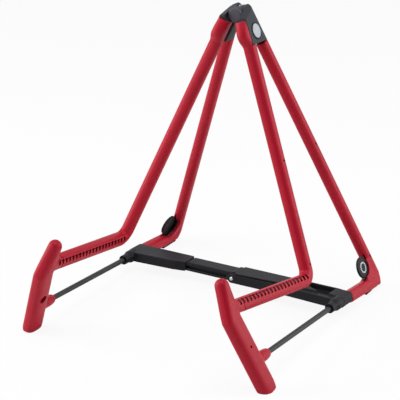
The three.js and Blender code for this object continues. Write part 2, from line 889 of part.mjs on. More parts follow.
// The right bracket holds the rear knuckle and the left one the front knuckle.
function bracket(knuckleFrom, knuckleTo) {
  const shoulder = armTopRise + fit;
  const armBack = (rise) => onArm(rise).x + armDiameter / 2 + 2 * fit;
  const outline = [
    new THREE.Vector2(-bracketNose, bracketTop - bracketNose),
    new THREE.Vector2(-bracketFront, -bracketNose),
    new THREE.Vector2(-bracketFront, shoulder),
    new THREE.Vector2(armBack(shoulder), shoulder),
    new THREE.Vector2(armBack(-bracketBottom), -bracketBottom),
    onLeg(-bracketBottom),
    onLeg(bracketTop / 4),
    new THREE.Vector2(onLeg(0).x - bracketNose, bracketTop),
    new THREE.Vector2(bracketNose, bracketTop),
  ];
  const body = plate(outline, foldGap, foldGap + bracketThickness, bracketBevel);
  const open = knuckleDiameter + 3 * fit;
  const front = spindle(0, 0, -2 * bracketFront, knuckleFrom, open, roundSides);
  const behind = spindle(0, 0, knuckleTo, 2 * knuckleBack, open, roundSides);
  const knuckle = spindle(0, 0, knuckleFrom, knuckleTo, knuckleDiameter, roundSides);
  const bore = spindle(0, 0, -2 * bracketFront, 2 * knuckleBack, pinDiameter + 2 * fit, smallSides);
  const armSpigot = peg(onArm(0), onArm(armTopRise - spigotLength), spigotDiameter).subtract(above(shoulder + fit));
  const legSocket = peg(onLeg(2 * legTopRise), onLeg(legTopRise + spigotLength + fit), spigotDiameter + 2 * fit);
  const badgeSeat = drum(
    new THREE.Vector2(badgeBack, -badgeDrop),
    foldGap + bracketThickness - badgeThickness,
    foldGap + bracketThickness + overrun,
    badgeDiameter + 2 * fit,
    roundSides,
  );
  const plain = join(body, bracketPost(), bracketCheek(0));
  const carved = cut(plain, shoulderCut(), front, behind, otherSide());
  return cut(
    join(carved, knuckle, armSpigot),
    bore,
    legSocket,
    crossPin(onArm(armTopRise - spigotLength / 2), fit),
    crossPin(onLeg(legTopRise + spigotLength / 2), fit),
    badgeSeat,
  );
}

function badge() {
  const face = foldGap + bracketThickness;
  const at = new THREE.Vector2(badgeBack, -badgeDrop);
  const disc = drum(at, face - badgeThickness + fit, face + fit, badgeDiameter, roundSides);
  const dish = drum(at, face, face + overrun, badgeDiameter - 2 * badgeRim, roundSides);
  return cut(disc, dish);
}

function armPin() {
  return crossPin(onArm(armTopRise - spigotLength / 2), 0);
}

function legPin() {
  return crossPin(onLeg(legTopRise + spigotLength / 2), 0);
}

const pinEnd = knuckleBack + fit + washerThickness + fit + nutThickness;

function hingePin() {
  return spindle(0, 0, capThickness - 1.5 * fit, pinEnd, pinDiameter, smallSides);
}

function hingeCap() {
  const cap = turned(0, 0, [
    [0, capDiameter - capThickness / 2],
    [capThickness / 4, capDiameter],
    [capThickness, capDiameter],
  ]);
  return cut(cap, spindle(0, 0, capThickness / 2, capThickness + overrun, pinDiameter + 2 * fit, smallSides));
}

function hingeWasher() {
  const from = knuckleBack + fit;
  const disc = spindle(0, 0, from, from + washerThickness, washerDiameter, roundSides);
  return cut(disc, spindle(0, 0, from - overrun, from + overrun + washerThickness, pinDiameter + 2 * fit, smallSides));
}

function hingeNut() {
  const from = knuckleBack + 2 * fit + washerThickness;
  const nut = spindle(0, 0, from, from + nutThickness, nutWidth, hexSides);
  return cut(nut, spindle(0, 0, from - overrun, from + overrun + nutThickness, pinDiameter + 2 * fit, smallSides));
}

// Crossbar. Each half is drawn from the rivet at x = 0 to its barrel, with z = 0 on the rods' axis.

const barTop = barHeight / 2;
const plateTop = barTop + fit + plateHeight;
const cheekBack = barBack - rearCheek;
const tongueFront = barFront + frontCheek + fit;
const tongueBack = cheekBack - fit;

function barOutline(from) {
  return [
    new THREE.Vector2(from, barFront),
    new THREE.Vector2(cheekLength, barFront),
    new THREE.Vector2(barX - barrelDiameter, barFront - barTaper),
    new THREE.Vector2(barX, barFront - barTaper),
    new THREE.Vector2(barX, barBack),
    new THREE.Vector2(from, barBack),
  ];
}

function barrel() {
  const nose = barFront - barrelReach;
  const shoulder = nose + barrelShoulder;
  const hub = shoulder + barrelCone;
  return turned(barX, 0, [
    [nose, barrelDiameter],
    [shoulder, barrelDiameter],
    [hub, hubDiameter],
    [barFront + hubLap, hubDiameter],
  ]);
}

// The end of a bar half behind its barrel, with a top that slopes from the half's own top.
function hubBlock(top) {
  const half = hubHeight / 2;
  const end = barX + hubDiameter / 2;
  return profile(
    [
      new THREE.Vector2(barX - barrelDiameter, -barTop),
      new THREE.Vector2(barX, -half),
      new THREE.Vector2(end - hubChamfer, -half),
      new THREE.Vector2(end, hubChamfer - half),
      new THREE.Vector2(end, half - hubChamfer),
      new THREE.Vector2(end - hubChamfer, half),
      new THREE.Vector2(barX - barrelDiameter, top),
    ],
    tongueFront,
    barBack,
  );
}

function barrelBore() {
  return spindle(barX, 0, -barFront, barBack + overrun, bushDiameter + 2 * fit, roundSides);
}

// A shallow hollow from below, split by ribs.
function hollows(from, to, front, back) {
  const cells = [];
  const count = Math.floor((to - from) / ribSpacing);
  const pitch = (to - from) / count;
  for (let i = 0; i < count; i += 1) {
    const low = new THREE.Vector3(from + i * pitch + ribThickness / 2, front, -barTop - overrun);
    const high = new THREE.Vector3(from + (i + 1) * pitch - ribThickness / 2, back, -barTop + hollowDepth);
    cells.push(block(low, high));
  }
  return join(...cells);
}

function crossbarChannel() {
  const cheekEnd = barHeight / 2;
  const slab = deck(barOutline(-cheekEnd), -barTop, barTop);
  const roundEnd = join(
    spindle(0, 0, barFront - barTaper - overrun, barBack + overrun, barHeight, roundSides),
    block(
      new THREE.Vector3(0, barFront - barTaper - overrun, -barHeight),
      new THREE.Vector3(2 * barX, barBack + overrun, barHeight),
    ),
  );
  const gap = block(
    new THREE.Vector3(-2 * barHeight, barFront + frontCheek, -barHeight),
    new THREE.Vector3(cheekLength, cheekBack, barHeight),
  );
  const raisedEnd = barX - barrelDiameter;
  const raised = profile(
    [
      new THREE.Vector2(cheekLength + fit, barTop - fit),
      new THREE.Vector2(raisedEnd, barTop - fit),
      new THREE.Vector2(raisedEnd, plateTop),
      new THREE.Vector2(cheekLength + 4 * fit + scarfLength, plateTop),
      new THREE.Vector2(cheekLength + 4 * fit, barTop + fit / 2),
    ],
    tongueFront,
    barBack,
  );
  const recessTo = barX - recessEnd;
  const recessBack = barBack - barWall;
  const recess = deck(
    [
      new THREE.Vector2(recessTo - recessLength + recessSlant, recessBack - recessWidth),
      new THREE.Vector2(recessTo, recessBack - recessWidth),
      new THREE.Vector2(recessTo, recessBack),
      new THREE.Vector2(recessTo - recessLength, recessBack),
    ],
    plateTop - recessDepth,
    plateTop + overrun,
  );
  const underside = hollows(cheekLength + barWall, recessTo, barFront + barWall, barBack - barWall);
  const shank = spindle(0, 0, barFront - overrun, barBack + overrun, rivetShank + 2 * fit, smallSides);
  const shell = join(slab.intersect(roundEnd), raised, hubBlock(plateTop), barrel());
  return cut(shell, gap, recess, underside, shank, barrelBore());
}

function crossbarSleeve() {
  const outline = [
    new THREE.Vector2(sleeveMouth, barFront + sleeveTaper),
    new THREE.Vector2(sleeveMouth + sleeveTaperLength, barFront),
    ...barOutline(sleeveMouth).slice(2, 4),
    new THREE.Vector2(barX, barBack),
    new THREE.Vector2(sleeveMouth + sleeveChamfer, barBack),
    new THREE.Vector2(sleeveMouth, barBack - sleeveChamfer),
  ];
  const slab = deck(outline, -barTop, barTop + 2 * fit);
  const socket = block(
    new THREE.Vector3(sleeveMouth - overrun, tongueFront - fit, -tongueHeight / 2 - fit),
    new THREE.Vector3(tongueRoot + fit, tongueBack + fit, tongueHeight / 2 + fit),
  );
  const window = hollows(sleeveMouth + ribSpacing, tongueRoot, tongueFront + barWall, tongueBack - barWall);
  const pinHole = tonguePinSolid(fit);
  return cut(join(slab, hubBlock(barTop + 2 * fit), barrel()), socket, window, pinHole, barrelBore());
}

function tonguePinSolid(grow) {
  const from = barFront + tonguePinCover - grow;
  const to = grow > 0 ? barBack + overrun : barBack - fit;
  return spindle(tonguePinAt, 0, from, to, tonguePinDiameter + 2 * grow, smallSides);
}

// The tongue is drawn on the sleeve's side of the rivet and reaches past it, to negative x.
function tongue() {
  const body = block(
    new THREE.Vector3(-tongueEnd, tongueFront, -tongueHeight / 2),
    new THREE.Vector3(tongueRoot, tongueBack, tongueHeight / 2),
  );
  const raised = block(
    new THREE.Vector3(-tongueEnd, tongueFront, 0),
    new THREE.Vector3(sleeveMouth - overrun, tongueBack, barTop + tongueRise),
  );
  const lipEnd = -cheekLength - scarfLength;
  const lip = profile(
    [
      new THREE.Vector2(lipRamp, barTop + fit),
      new THREE.Vector2(0, plateTop),
      new THREE.Vector2(lipEnd, plateTop),
      new THREE.Vector2(-cheekLength, barTop + fit),
    ],
    barFront,
    barBack,
  );
  const lipPlan = deck(
    [
      new THREE.Vector2(lipStart, barFront),
      new THREE.Vector2(lipStart, tongueFront),
      new THREE.Vector2(lipRamp, tongueFront),
      new THREE.Vector2(lipRamp, tongueBack),
      new THREE.Vector2(lipStart, tongueBack),
      new THREE.Vector2(lipStart, barBack),
      new THREE.Vector2(lipEnd, barBack),
      new THREE.Vector2(lipEnd, tongueFront),
    ],
    0,
    2 * plateTop,
  );
  const grooveFrom = barHeight / 2 + grooveMargin;
  const groove = block(
    new THREE.Vector3(grooveFrom, tongueFront - overrun, -grooveHeight / 2),
    new THREE.Vector3(sleeveMouth, tongueFront + grooveDepth, grooveHeight / 2),
  );
  return cut(join(body, raised, lip.intersect(lipPlan)), groove, tonguePinSolid(fit));
}

function rivetFront() {
  return join(
    spindle(0, 0, barFront - fit - rivetHeadHeight, barFront - fit, rivetShank, smallSides, rivetHeadDiameter),
    spindle(0, 0, barFront - 2 * fit, barFront + frontCheek, rivetShank, smallSides),
  );
}

function rivetRear() {
  return join(
    spindle(0, 0, barBack + fit, barBack + fit + rivetHeadHeight, rivetHeadDiameter, smallSides, rivetShank),
    spindle(0, 0, cheekBack, barBack + 2 * fit, rivetShank, smallSides),
  );
}

function bush() {
  const front = barFront - barrelReach + bushRecess;
  const sleeve = spindle(barX, 0, front, barBack - bushRecess, bushDiameter, roundSides);
  return cut(sleeve, spindle(barX, 0, -barFront, 2 * barBack, rodDiameter + 2 * fit, smallSides));
}

// Assembly

function mesh(name, geometry, material) {
  const part = new THREE.Mesh(geometry, material);
  part.name = name;
  return part;
}

const sidePieces = [
  ['front_arm', surface(frontArm()), red],
  ['foot', surface(foot()), red],
  ['foot_screw', surface(footScrew()), darkSteel],
  ['rod', surface(rod()), darkSteel],
  ['rear_leg', surface(rearLeg()), red],
  ['heel_pad', surface(heelPad()), rubber],
  ['heel_disc', surface(heelDisc()), black],
  ['heel_ring', surface(heelRing()), pale],
  ['badge', surface(badge()), pale],
  ['arm_pin', surface(armPin()), darkSteel],
  ['leg_pin', surface(legPin()), darkSteel],
];

const rightSide = new THREE.Group();
rightSide.rotation.y = -frameTilt;
const leftSide = new THREE.Group();
leftSide.rotation.y = frameTilt;
for (const [name, geometry, material] of sidePieces) {
  rightSide.add(mesh(`${name}_right`, geometry, material));
  leftSide.add(mesh(`${name}_left`, mirrored(geometry), material));
}
rightSide.add(mesh('bracket_right', surface(bracket(knuckleMiddle + fit, knuckleBack)), black));
leftSide.add(mesh('bracket_left', mirrored(surface(bracket(knuckleFront, knuckleMiddle))), black));

const barRight = new THREE.Group();
barRight.position.z = barZ;
barRight.add(
  mesh('crossbar_channel', surface(crossbarChannel()), black),
  mesh('rivet_front', surface(rivetFront()), brightSteel),
  mesh('rivet_rear', surface(rivetRear()), brightSteel),
  mesh('rod_bush_right', surface(bush()), black),
);
const barLeft = new THREE.Group();
barLeft.position.z = barZ;
barLeft.add(
  mesh('crossbar_sleeve', mirrored(surface(crossbarSleeve())), black),
  mesh('crossbar_tongue', mirrored(surface(tongue())), black),
  mesh('tongue_pin', mirrored(surface(tonguePinSolid(0))), darkSteel),
  mesh('rod_bush_left', mirrored(surface(bush())), black),
);

const hinge = new THREE.Group();
hinge.add(
  mesh('hinge_pin', surface(hingePin()), brightSteel),
  mesh('hinge_cap', surface(hingeCap()), black),
  mesh('hinge_washer', surface(hingeWasher()), brightSteel),
  mesh('hinge_nut', surface(hingeNut()), brightSteel),
);

const frames = new THREE.Group();
frames.position.z = pinHeight;
frames.rotation.x = -framePitch;
frames.add(rightSide, leftSide, barRight, barLeft, hinge);

const stand = new THREE.Group();
stand.add(frames);

// The middle of the footprint is the origin.
const footprint = new THREE.Box3().setFromObject(stand, true).getCenter(new THREE.Vector3());
frames.position.y = -footprint.y;
stand.updateMatrixWorld(true);

export default stand;
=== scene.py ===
"""Dresses the folding guitar stand: its moulded pieces, their finishes, the studio and the camera.

A side frame is modelled in its own plane and then tilted into place. In that plane X runs outwards, Y from
front to back and Z up, with the origin at the front end of the hinge pin. The left side is a mirrored copy.
"""

from __future__ import annotations

import json
import logging
import math
from collections.abc import Callable
from dataclasses import dataclass, field
from enum import Enum
from functools import cached_property

import bmesh
import bpy
from bpy.types import Material, Node, NodeSocket, NodeTree
from mathutils import Matrix, Vector

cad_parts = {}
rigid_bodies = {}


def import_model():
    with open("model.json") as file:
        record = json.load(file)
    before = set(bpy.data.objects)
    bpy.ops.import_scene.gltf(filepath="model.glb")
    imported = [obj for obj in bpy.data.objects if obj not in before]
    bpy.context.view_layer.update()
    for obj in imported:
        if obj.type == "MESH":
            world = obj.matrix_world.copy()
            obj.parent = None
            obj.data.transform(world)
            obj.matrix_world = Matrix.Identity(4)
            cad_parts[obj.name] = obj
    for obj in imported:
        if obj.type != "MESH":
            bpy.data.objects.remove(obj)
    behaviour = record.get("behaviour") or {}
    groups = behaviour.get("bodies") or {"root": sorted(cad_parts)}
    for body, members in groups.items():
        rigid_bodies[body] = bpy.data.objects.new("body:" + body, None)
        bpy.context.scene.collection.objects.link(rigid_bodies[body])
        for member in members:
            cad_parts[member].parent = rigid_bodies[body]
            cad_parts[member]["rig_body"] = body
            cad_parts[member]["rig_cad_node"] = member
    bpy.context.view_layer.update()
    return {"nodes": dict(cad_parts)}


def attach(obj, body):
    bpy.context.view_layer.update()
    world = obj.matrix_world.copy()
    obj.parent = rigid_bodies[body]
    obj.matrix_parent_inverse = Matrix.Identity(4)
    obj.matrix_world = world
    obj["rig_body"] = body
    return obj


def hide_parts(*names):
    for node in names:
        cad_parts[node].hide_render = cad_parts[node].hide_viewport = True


LOG = logging.getLogger("guitar_stand")
MM = 0.001
# Points nearer than this are one point, in millimetres
MERGE_WITHIN = 0.002
# An edge that turns by more than this stays sharp
SHARP_ANGLE = math.radians(38)
# Numbers of sides of round cutters, from a pinhole to a disc
FEW_SIDES = 20
SIDES = 32
MANY_SIDES = 64
# Further than any piece reaches, in millimetres
FAR = 400.0

Piece = bpy.types.Object
Triple = tuple[float, float, float]
Corners = tuple[Triple, Triple]
Row = tuple[float, ...]
Rows = tuple[Row, ...]
# Places in the side's plane, each with a heading and its share of a change
Route = list[tuple[Vector, float, float]]
# Pieces, each with its body and the CAD node it stands for, or no node
Made = list[tuple[Piece, str, str]]


class Cut(Enum):
    """How one solid works on another."""

    JOIN = "UNION"
    TAKE = "DIFFERENCE"
    KEEP = "INTERSECT"


class Side(Enum):
    """The two sides of the stand, as seen from the front."""

    RIGHT = "right"
    LEFT = "left"

    @property
    def body(self) -> str:
        """The CAD body that this side's frame rides on."""
        return f"{self.value}_side"


@dataclass(frozen=True)
class Station:
    """One ring of a sweep in the plane of the side frame, in millimetres.

    Attributes:
        at: The ring's centre, as distance to the back and height.
        heading: The way the sweep runs there, in radians from the back direction upwards.
        width: The ring's size in the plane.
        thickness: The ring's size across the plane.
        squareness: The exponent of its outline: 2 is round and more is boxier.
        shift: How far the ring lies off its centre in the plane.
    """

    at: Vector
    heading: float
    width: float
    thickness: float
    squareness: float = 2.2
    shift: float = 0.0


# Work on meshes


def activate(piece: Piece) -> None:
    """Selects one object alone and makes it the active one.

    Args:
        piece: The object to work on.
    """
    if bpy.context.object and bpy.context.object.mode != "OBJECT":
        bpy.ops.object.mode_set(mode="OBJECT")
    bpy.ops.object.select_all(action="DESELECT")
    piece.select_set(True)
    bpy.context.view_layer.objects.active = piece


def named(piece: Piece, name: str) -> Piece:
    """Gives an object and its mesh one name, and returns the object."""
    piece.name = piece.data.name = name
    return piece


def settle(piece: Piece, place: Matrix) -> Piece:
    """Moves an object by a matrix and applies it, so that its place is in its mesh.

    Args:
        piece: The object to move.
        place: The move, in metres.

    Returns:
        The same object.
    """
    activate(piece)
    piece.matrix_world = place @ piece.matrix_world
    bpy.ops.object.transform_apply(location=True, rotation=True, scale=True)
    return piece


def finish_with(piece: Piece, kind: str, **settings: object) -> Piece:
    """Adds one modifier and applies it.

    Args:
        piece: The object to change.
        kind: Blender's name of the modifier's type.
        settings: The modifier's settings.

    Returns:
        The same object.
    """
    activate(piece)
    modifier = piece.modifiers.new(kind, kind)
    for key, value in settings.items():
        setattr(modifier, key, value)
    bpy.ops.object.modifier_apply(modifier=modifier.name)
    return piece


def combine(piece: Piece, tool: Piece, how: Cut) -> Piece:
    """Joins, takes or keeps one solid with another, and removes the tool.

    Args:
        piece: The solid that stays.
        tool: The solid that works on it.
        how: What the tool does.

    Returns:
        The solid that stays.
    """
    finish_with(piece, "BOOLEAN", operation=how.value, solver="MANIFOLD", object=tool)
    bpy.data.objects.remove(tool)
    return piece


def mended(piece: Piece) -> Piece:
    """Merges doubles and turns all faces outwards.

    Args:
        piece: The object to mend.

    Returns:
        The same object.
    """
    activate(piece)
    bpy.ops.object.mode_set(mode="EDIT")
    bpy.ops.mesh.select_all(action="SELECT")
    bpy.ops.mesh.remove_doubles(threshold=MERGE_WITHIN * MM)
    bpy.ops.mesh.normals_make_consistent(inside=False)
    bpy.ops.object.mode_set(mode="OBJECT")
    return piece


def moulded(piece: Piece, voxel: float, passes: int) -> Piece:
    """Softens the edges and corners of a solid as a mould does.

    Args:
        piece: The solid to soften.
        voxel: The size of its new faces, in millimetres.
        passes: How often it is smoothed.

    Returns:
        The same object.
    """
    finish_with(piece, "REMESH", mode="VOXEL", voxel_size=voxel * MM, use_smooth_shade=True)
    finish_with(piece, "SMOOTH", factor=0.5, iterations=passes)
    bpy.ops.object.shade_smooth()
    return piece


def outer_shell(piece: Piece) -> Piece:
    """Deletes the small loose shells that a remesh can leave inside a piece, in a thin gap.

    Args:
        piece: The object to clear.

    Returns:
        The same object.
    """
    activate(piece)
    bpy.ops.object.mode_set(mode="EDIT")
    bpy.ops.mesh.select_mode(type="VERT")
    bpy.ops.mesh.select_all(action="DESELECT")
    mesh = bmesh.from_edit_mesh(piece.data)
    max(mesh.verts, key=lambda vert: vert.co.length).select_set(True)
    bmesh.update_edit_mesh(piece.data)
    bpy.ops.mesh.select_linked()
    bpy.ops.mesh.select_all(action="INVERT")
    bpy.ops.mesh.delete(type="VERT")
    bpy.ops.object.mode_set(mode="OBJECT")
    return piece


def smooth_by_angle(piece: Piece) -> Piece:
    """Shades a piece smooth, with sharp lines where it turns by more than SHARP_ANGLE.

    Args:
        piece: The object to shade.

    Returns:
        The same object.
    """
    activate(piece)
    bpy.ops.object.shade_smooth_by_angle(angle=SHARP_ANGLE)
    return piece


def added(adder: Callable[..., set[str]], **settings: object) -> Piece:
    """Adds an object with nothing else selected.

    Args:
        adder: The operator that adds it.
        settings: The operator's settings.

    Returns:
        The new object.
    """
    bpy.ops.object.select_all(action="DESELECT")
    adder(**settings)
    return bpy.context.object


def bar_between(start: Vector, end: Vector, radius: float, sides: int) -> Piece:
    """A round bar between two points, all in millimetres.

    Args:
        start: The middle of its first end.
        end: The middle of its last end.
        radius: Its radius.
        sides: The number of its sides.

    Returns:
        The bar.
    """
    axis = (end - start) * MM
    bar = added(
        bpy.ops.mesh.primitive_cone_add,
        vertices=sides,
        radius1=radius * MM,
        radius2=radius * MM,
        depth=axis.length,
        location=(start + end) / 2 * MM,
        rotation=axis.to_track_quat("Z", "Y").to_euler(),
    )
    return settle(bar, Matrix.Identity(4))


def block_between(low: Vector, high: Vector) -> Piece:
    """A box from its lowest to its highest corner, in millimetres."""
    place = Matrix.Translation((low + high) / 2 * MM) @ Matrix.Diagonal((*(high - low) * MM, 1))
    return settle(added(bpy.ops.mesh.primitive_cube_add, size=1), place)


def select_rings(mesh: bmesh.types.BMesh, rings: list[int], sides: int) -> None:
    """Selects the edges of some rings of a sweep.

    Args:
        mesh: The mesh in edit mode.
        rings: The numbers of the rings.
        sides: The number of points in a ring.
    """
    for edge in mesh.edges:
        first, last = (vertex.index // sides for vertex in edge.verts)
        edge.select_set(first == last and first in rings)


def shape_ring(mesh: bmesh.types.BMesh, station: Station, middle: float) -> None:
    """Presses the newest ring from a circle to its station's outline.

    Args:
        mesh: The mesh in edit mode, with the ring selected.
        station: The ring's sizes.
        middle: The distance of the sweep's plane from the origin.
    """
    centre = Vector((middle, *station.at)) * MM
    across = Vector((0, -math.sin(station.heading), math.cos(station.heading)))
    power = 2 / station.squareness
    for vertex in (v for v in mesh.verts if v.select):
        offset = vertex.co - centre
        turn = math.atan2(offset.dot(across), offset.x)
        outward = math.copysign(abs(math.cos(turn)) ** power, math.cos(turn)) * station.thickness / 2
        sideways = math.copysign(abs(math.sin(turn)) ** power, math.sin(turn)) * station.width / 2
        vertex.co = centre + Vector((outward * MM, 0, 0)) + across * (sideways + station.shift) * MM


def sweep(name: str, stations: list[Station], middle: float, sides: int = 40) -> Piece:
    """Bridges a row of rings to a closed, rounded bar.

    Args:
        name: The name of the new object.
        stations: The rings, in order.
        middle: The distance of the bar's plane from the origin, in millimetres.
        sides: The number of points in a ring.

    Returns:
        The bar.
    """
    piece = named(added(bpy.ops.mesh.primitive_circle_add, vertices=sides), name)
    bpy.ops.object.mode_set(mode="EDIT")
    bpy.ops.mesh.select_mode(type="VERT")
    bpy.ops.mesh.select_all(action="SELECT")
    bpy.ops.mesh.delete(type="VERT")
    for station in stations:
        bpy.ops.mesh.select_all(action="DESELECT")
        bpy.ops.mesh.primitive_circle_add(
            vertices=sides,
            radius=station.width / 2 * MM,
            location=Vector((middle, *station.at)) * MM,
            rotation=(station.heading - math.pi / 2, 0, 0),
        )
        shape_ring(bmesh.from_edit_mesh(piece.data), station, middle)
        bmesh.update_edit_mesh(piece.data)
    bpy.ops.mesh.select_mode(type="EDGE")
    for ring in range(len(stations) - 1):
        select_rings(bmesh.from_edit_mesh(piece.data), [ring, ring + 1], sides)
        bpy.ops.mesh.bridge_edge_loops()
    for ring in (0, len(stations) - 1):
        select_rings(bmesh.from_edit_mesh(piece.data), [ring], sides)
        bpy.ops.mesh.edge_face_add()
    bpy.ops.object.mode_set(mode="OBJECT")
    return mended(piece)


def mirrored(piece: Piece, name: str) -> Piece:
    """A copy on the other side of the stand's middle plane, with a mesh of its own.

    Args:
        piece: The object to copy.
        name: The copy's name.

    Returns:
        The copy.
    """
    activate(piece)
    bpy.ops.object.duplicate()
    twin = named(bpy.context.object, name)
    settle(twin, Matrix.Diagonal((-1, 1, 1, 1)))
    return mended(twin)


def traced(nodes: dict[str, Piece], name: str, voxel: float, passes: int) -> Piece:
    """A copy of a CAD node with softer edges, merged first.

    Args:
        nodes: The CAD nodes.
        name: The name of the node.
        voxel: The size of its new faces, in millimetres.
        passes: How often it is smoothed.

    Returns:
        The copy.
    """
    activate(nodes[name])
    bpy.ops.object.duplicate()
    copy = named(bpy.context.object, f"moulded_{name}")
    bpy.ops.object.parent_clear(type="CLEAR_KEEP_TRANSFORM")
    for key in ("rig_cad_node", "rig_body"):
        del copy[key]
    return moulded(mended(copy), voxel, passes)


# Finishes


def linear(code: str) -> tuple[float, float, float, float]:
    """Turns an sRGB hex colour into linear numbers.

    Args:
        code: Six hex digits.

    Returns:
        Red, green, blue and an alpha of one.
    """
    parts = [int(code[i : i + 2], 16) / 255 for i in (0, 2, 4)]
    red, green, blue = (c / 12.92 if c <= 0.04045 else ((c + 0.055) / 1.055) ** 2.4 for c in parts)
    return red, green, blue, 1.0


def add_node(
    tree: NodeTree, kind: str, inputs: dict[str | int, object] | None = None, **settings: object
) -> Node:
    """Adds a node with its settings and links.

    Args:
        tree: The node tree.
        kind: The node's type.
        inputs: For each input, its value or the socket that feeds it.
        settings: The node's own properties.

    Returns:
        The node.
    """
    node = tree.nodes.new(kind)
    for key, value in settings.items():
        setattr(node, key, value)
    for key, value in (inputs or {}).items():
        if isinstance(value, NodeSocket):
            tree.links.new(value, node.inputs[key])
        else:
            node.inputs[key].default_value = value
    return node


def new_material(name: str) -> tuple[Material, NodeTree, Node]:
    """A new node material.

    Args:
        name: Its name.

    Returns:
        The material, its tree and its surface shader.
    """
    material = bpy.data.materials.new(name)
    material.use_nodes = True
    return material, material.node_tree, material.node_tree.nodes["Principled BSDF"]


def give_surface(
    shader: Node, finish: MouldedPlastic | Steel, colour: NodeSocket, sheen: NodeSocket, height: NodeSocket
) -> None:
    """Feeds a shader with a colour, and with a dullness and a relief that follow patterns.

    Args:
        shader: The surface shader.
        finish: The finish with its roughness, spread and relief.
        colour: The colour.
        sheen: The pattern of the dullness.
        height: The pattern of the relief.
    """
    tree = shader.id_data
    least, most = finish.roughness - finish.spread, finish.roughness + finish.spread
    dull = add_node(tree, "ShaderNodeMapRange", inputs={"To Min": least, "To Max": most, "Value": sheen})
    bump = add_node(
        tree,
        "ShaderNodeBump",
        inputs={"Strength": finish.relief, "Distance": finish.relief_depth * MM, "Height": height},
    )
    tree.links.new(colour, shader.inputs["Base Color"])
    tree.links.new(dull.outputs["Result"], shader.inputs["Roughness"])
    tree.links.new(bump.outputs["Normal"], shader.inputs["Normal"])


@dataclass(frozen=True)
class MouldedPlastic:
    """Plastic from a spark-eroded mould: satin, with a fine even grain, a faint drift of tone, and painted
    shade in its slots and hollows.

    Attributes:
        name: What the finish is called.
        tone: Its main colour.
        deep: The colour of its darker drifts.
        worn: The colour that its rubbed edges show.
        roughness: How dull it is.
        grain: The size of the grain in millimetres, drawn coarser than the real 0.15 so that it shows.
        relief: How strongly the grain stands out.
        relief_depth: The height of the grain in millimetres.
        wear: How much of the worn colour the edges take.
        gloss: How much it reflects, with 0.5 for a bare polished plastic.
        recess_shade: The painted shade colour that the inside of a slot is darkened to, standing in for the
            little light that comes back out of it.
        shade_reach: How far apart the walls of such a slot may be for it to take the painted shade, in
            millimetres.
        drift_size: The size of the drifts of tone in millimetres, as the melt's flow leaves them.
        spread: How much duller or glossier the drifts are.
    """

    name: str
    tone: str
    deep: str
    worn: str
    roughness: float
    grain: float = 0.8
    relief: float = 0.18
    relief_depth: float = 0.08
    wear: float = 0.3
    gloss: float = 0.15
    # The painted shade colour that slots and hollows are darkened to
    recess_shade: str = "08070A"
    shade_reach: float = 6.0
    drift_size: float = 45.0
    spread: float = 0.05

    @cached_property
    def material(self) -> Material:
        """The finish as a Blender material, made once.

        Returns:
            The material.
        """
        material, tree, shader = new_material(self.name)
        place = add_node(tree, "ShaderNodeTexCoord").outputs["Object"]
        drift = add_node(
            tree,
            "ShaderNodeTexNoise",
            inputs={"Scale": 1 / (self.drift_size * MM), "Detail": 3.0, "Roughness": 0.5, "Vector": place},
        )
        tone = add_node(
            tree,
            "ShaderNodeMix",
            inputs={6: linear(self.tone), 7: linear(self.deep), 0: drift.outputs["Fac"]},
            data_type="RGBA",
        )
        # Pointiness is 0.5 on a flat face and more on an edge, which handling rubs paler
        pointed = add_node(tree, "ShaderNodeNewGeometry").outputs["Pointiness"]
        edge = add_node(
            tree,
            "ShaderNodeMapRange",
            inputs={"From Min": 0.52, "From Max": 0.6, "To Max": self.wear, "Value": pointed},
        )
        colour = add_node(
            tree,
            "ShaderNodeMix",
            inputs={7: linear(self.worn), 0: edge.outputs["Result"], 6: tone.outputs[2]},
            data_type="RGBA",
        )
        # Painted shade: ambient occlusion within the piece darkens its slots, hollows and inner corners in
        # the base colour
        occlusion = add_node(
            tree,
            "ShaderNodeAmbientOcclusion",
            inputs={"Distance": self.shade_reach * MM},
            samples=8,
            only_local=True,
        )
        # Painted shade: a place that sees less than 0.3 of its surroundings takes the painted shade colour
        # of a recess, and above 0.7 it keeps its plain colour
        light = add_node(
            tree,
            "ShaderNodeMapRange",
            inputs={"From Min": 0.3, "From Max": 0.7, "Value": occlusion.outputs["AO"]},
        )
        shaded = add_node(
            tree,
            "ShaderNodeMix",
            inputs={6: linear(self.recess_shade), 0: light.outputs["Result"], 7: colour.outputs[2]},
            data_type="RGBA",
        )
        grain = add_node(
            tree,
            "ShaderNodeTexNoise",
            inputs={"Scale": 1 / (self.grain * MM), "Detail": 2.0, "Roughness": 0.6, "Vector": place},
        )
        shader.inputs["Specular IOR Level"].default_value = self.gloss
        give_surface(shader, self, shaded.outputs[2], drift.outputs["Fac"], grain.outputs["Fac"])
        return material


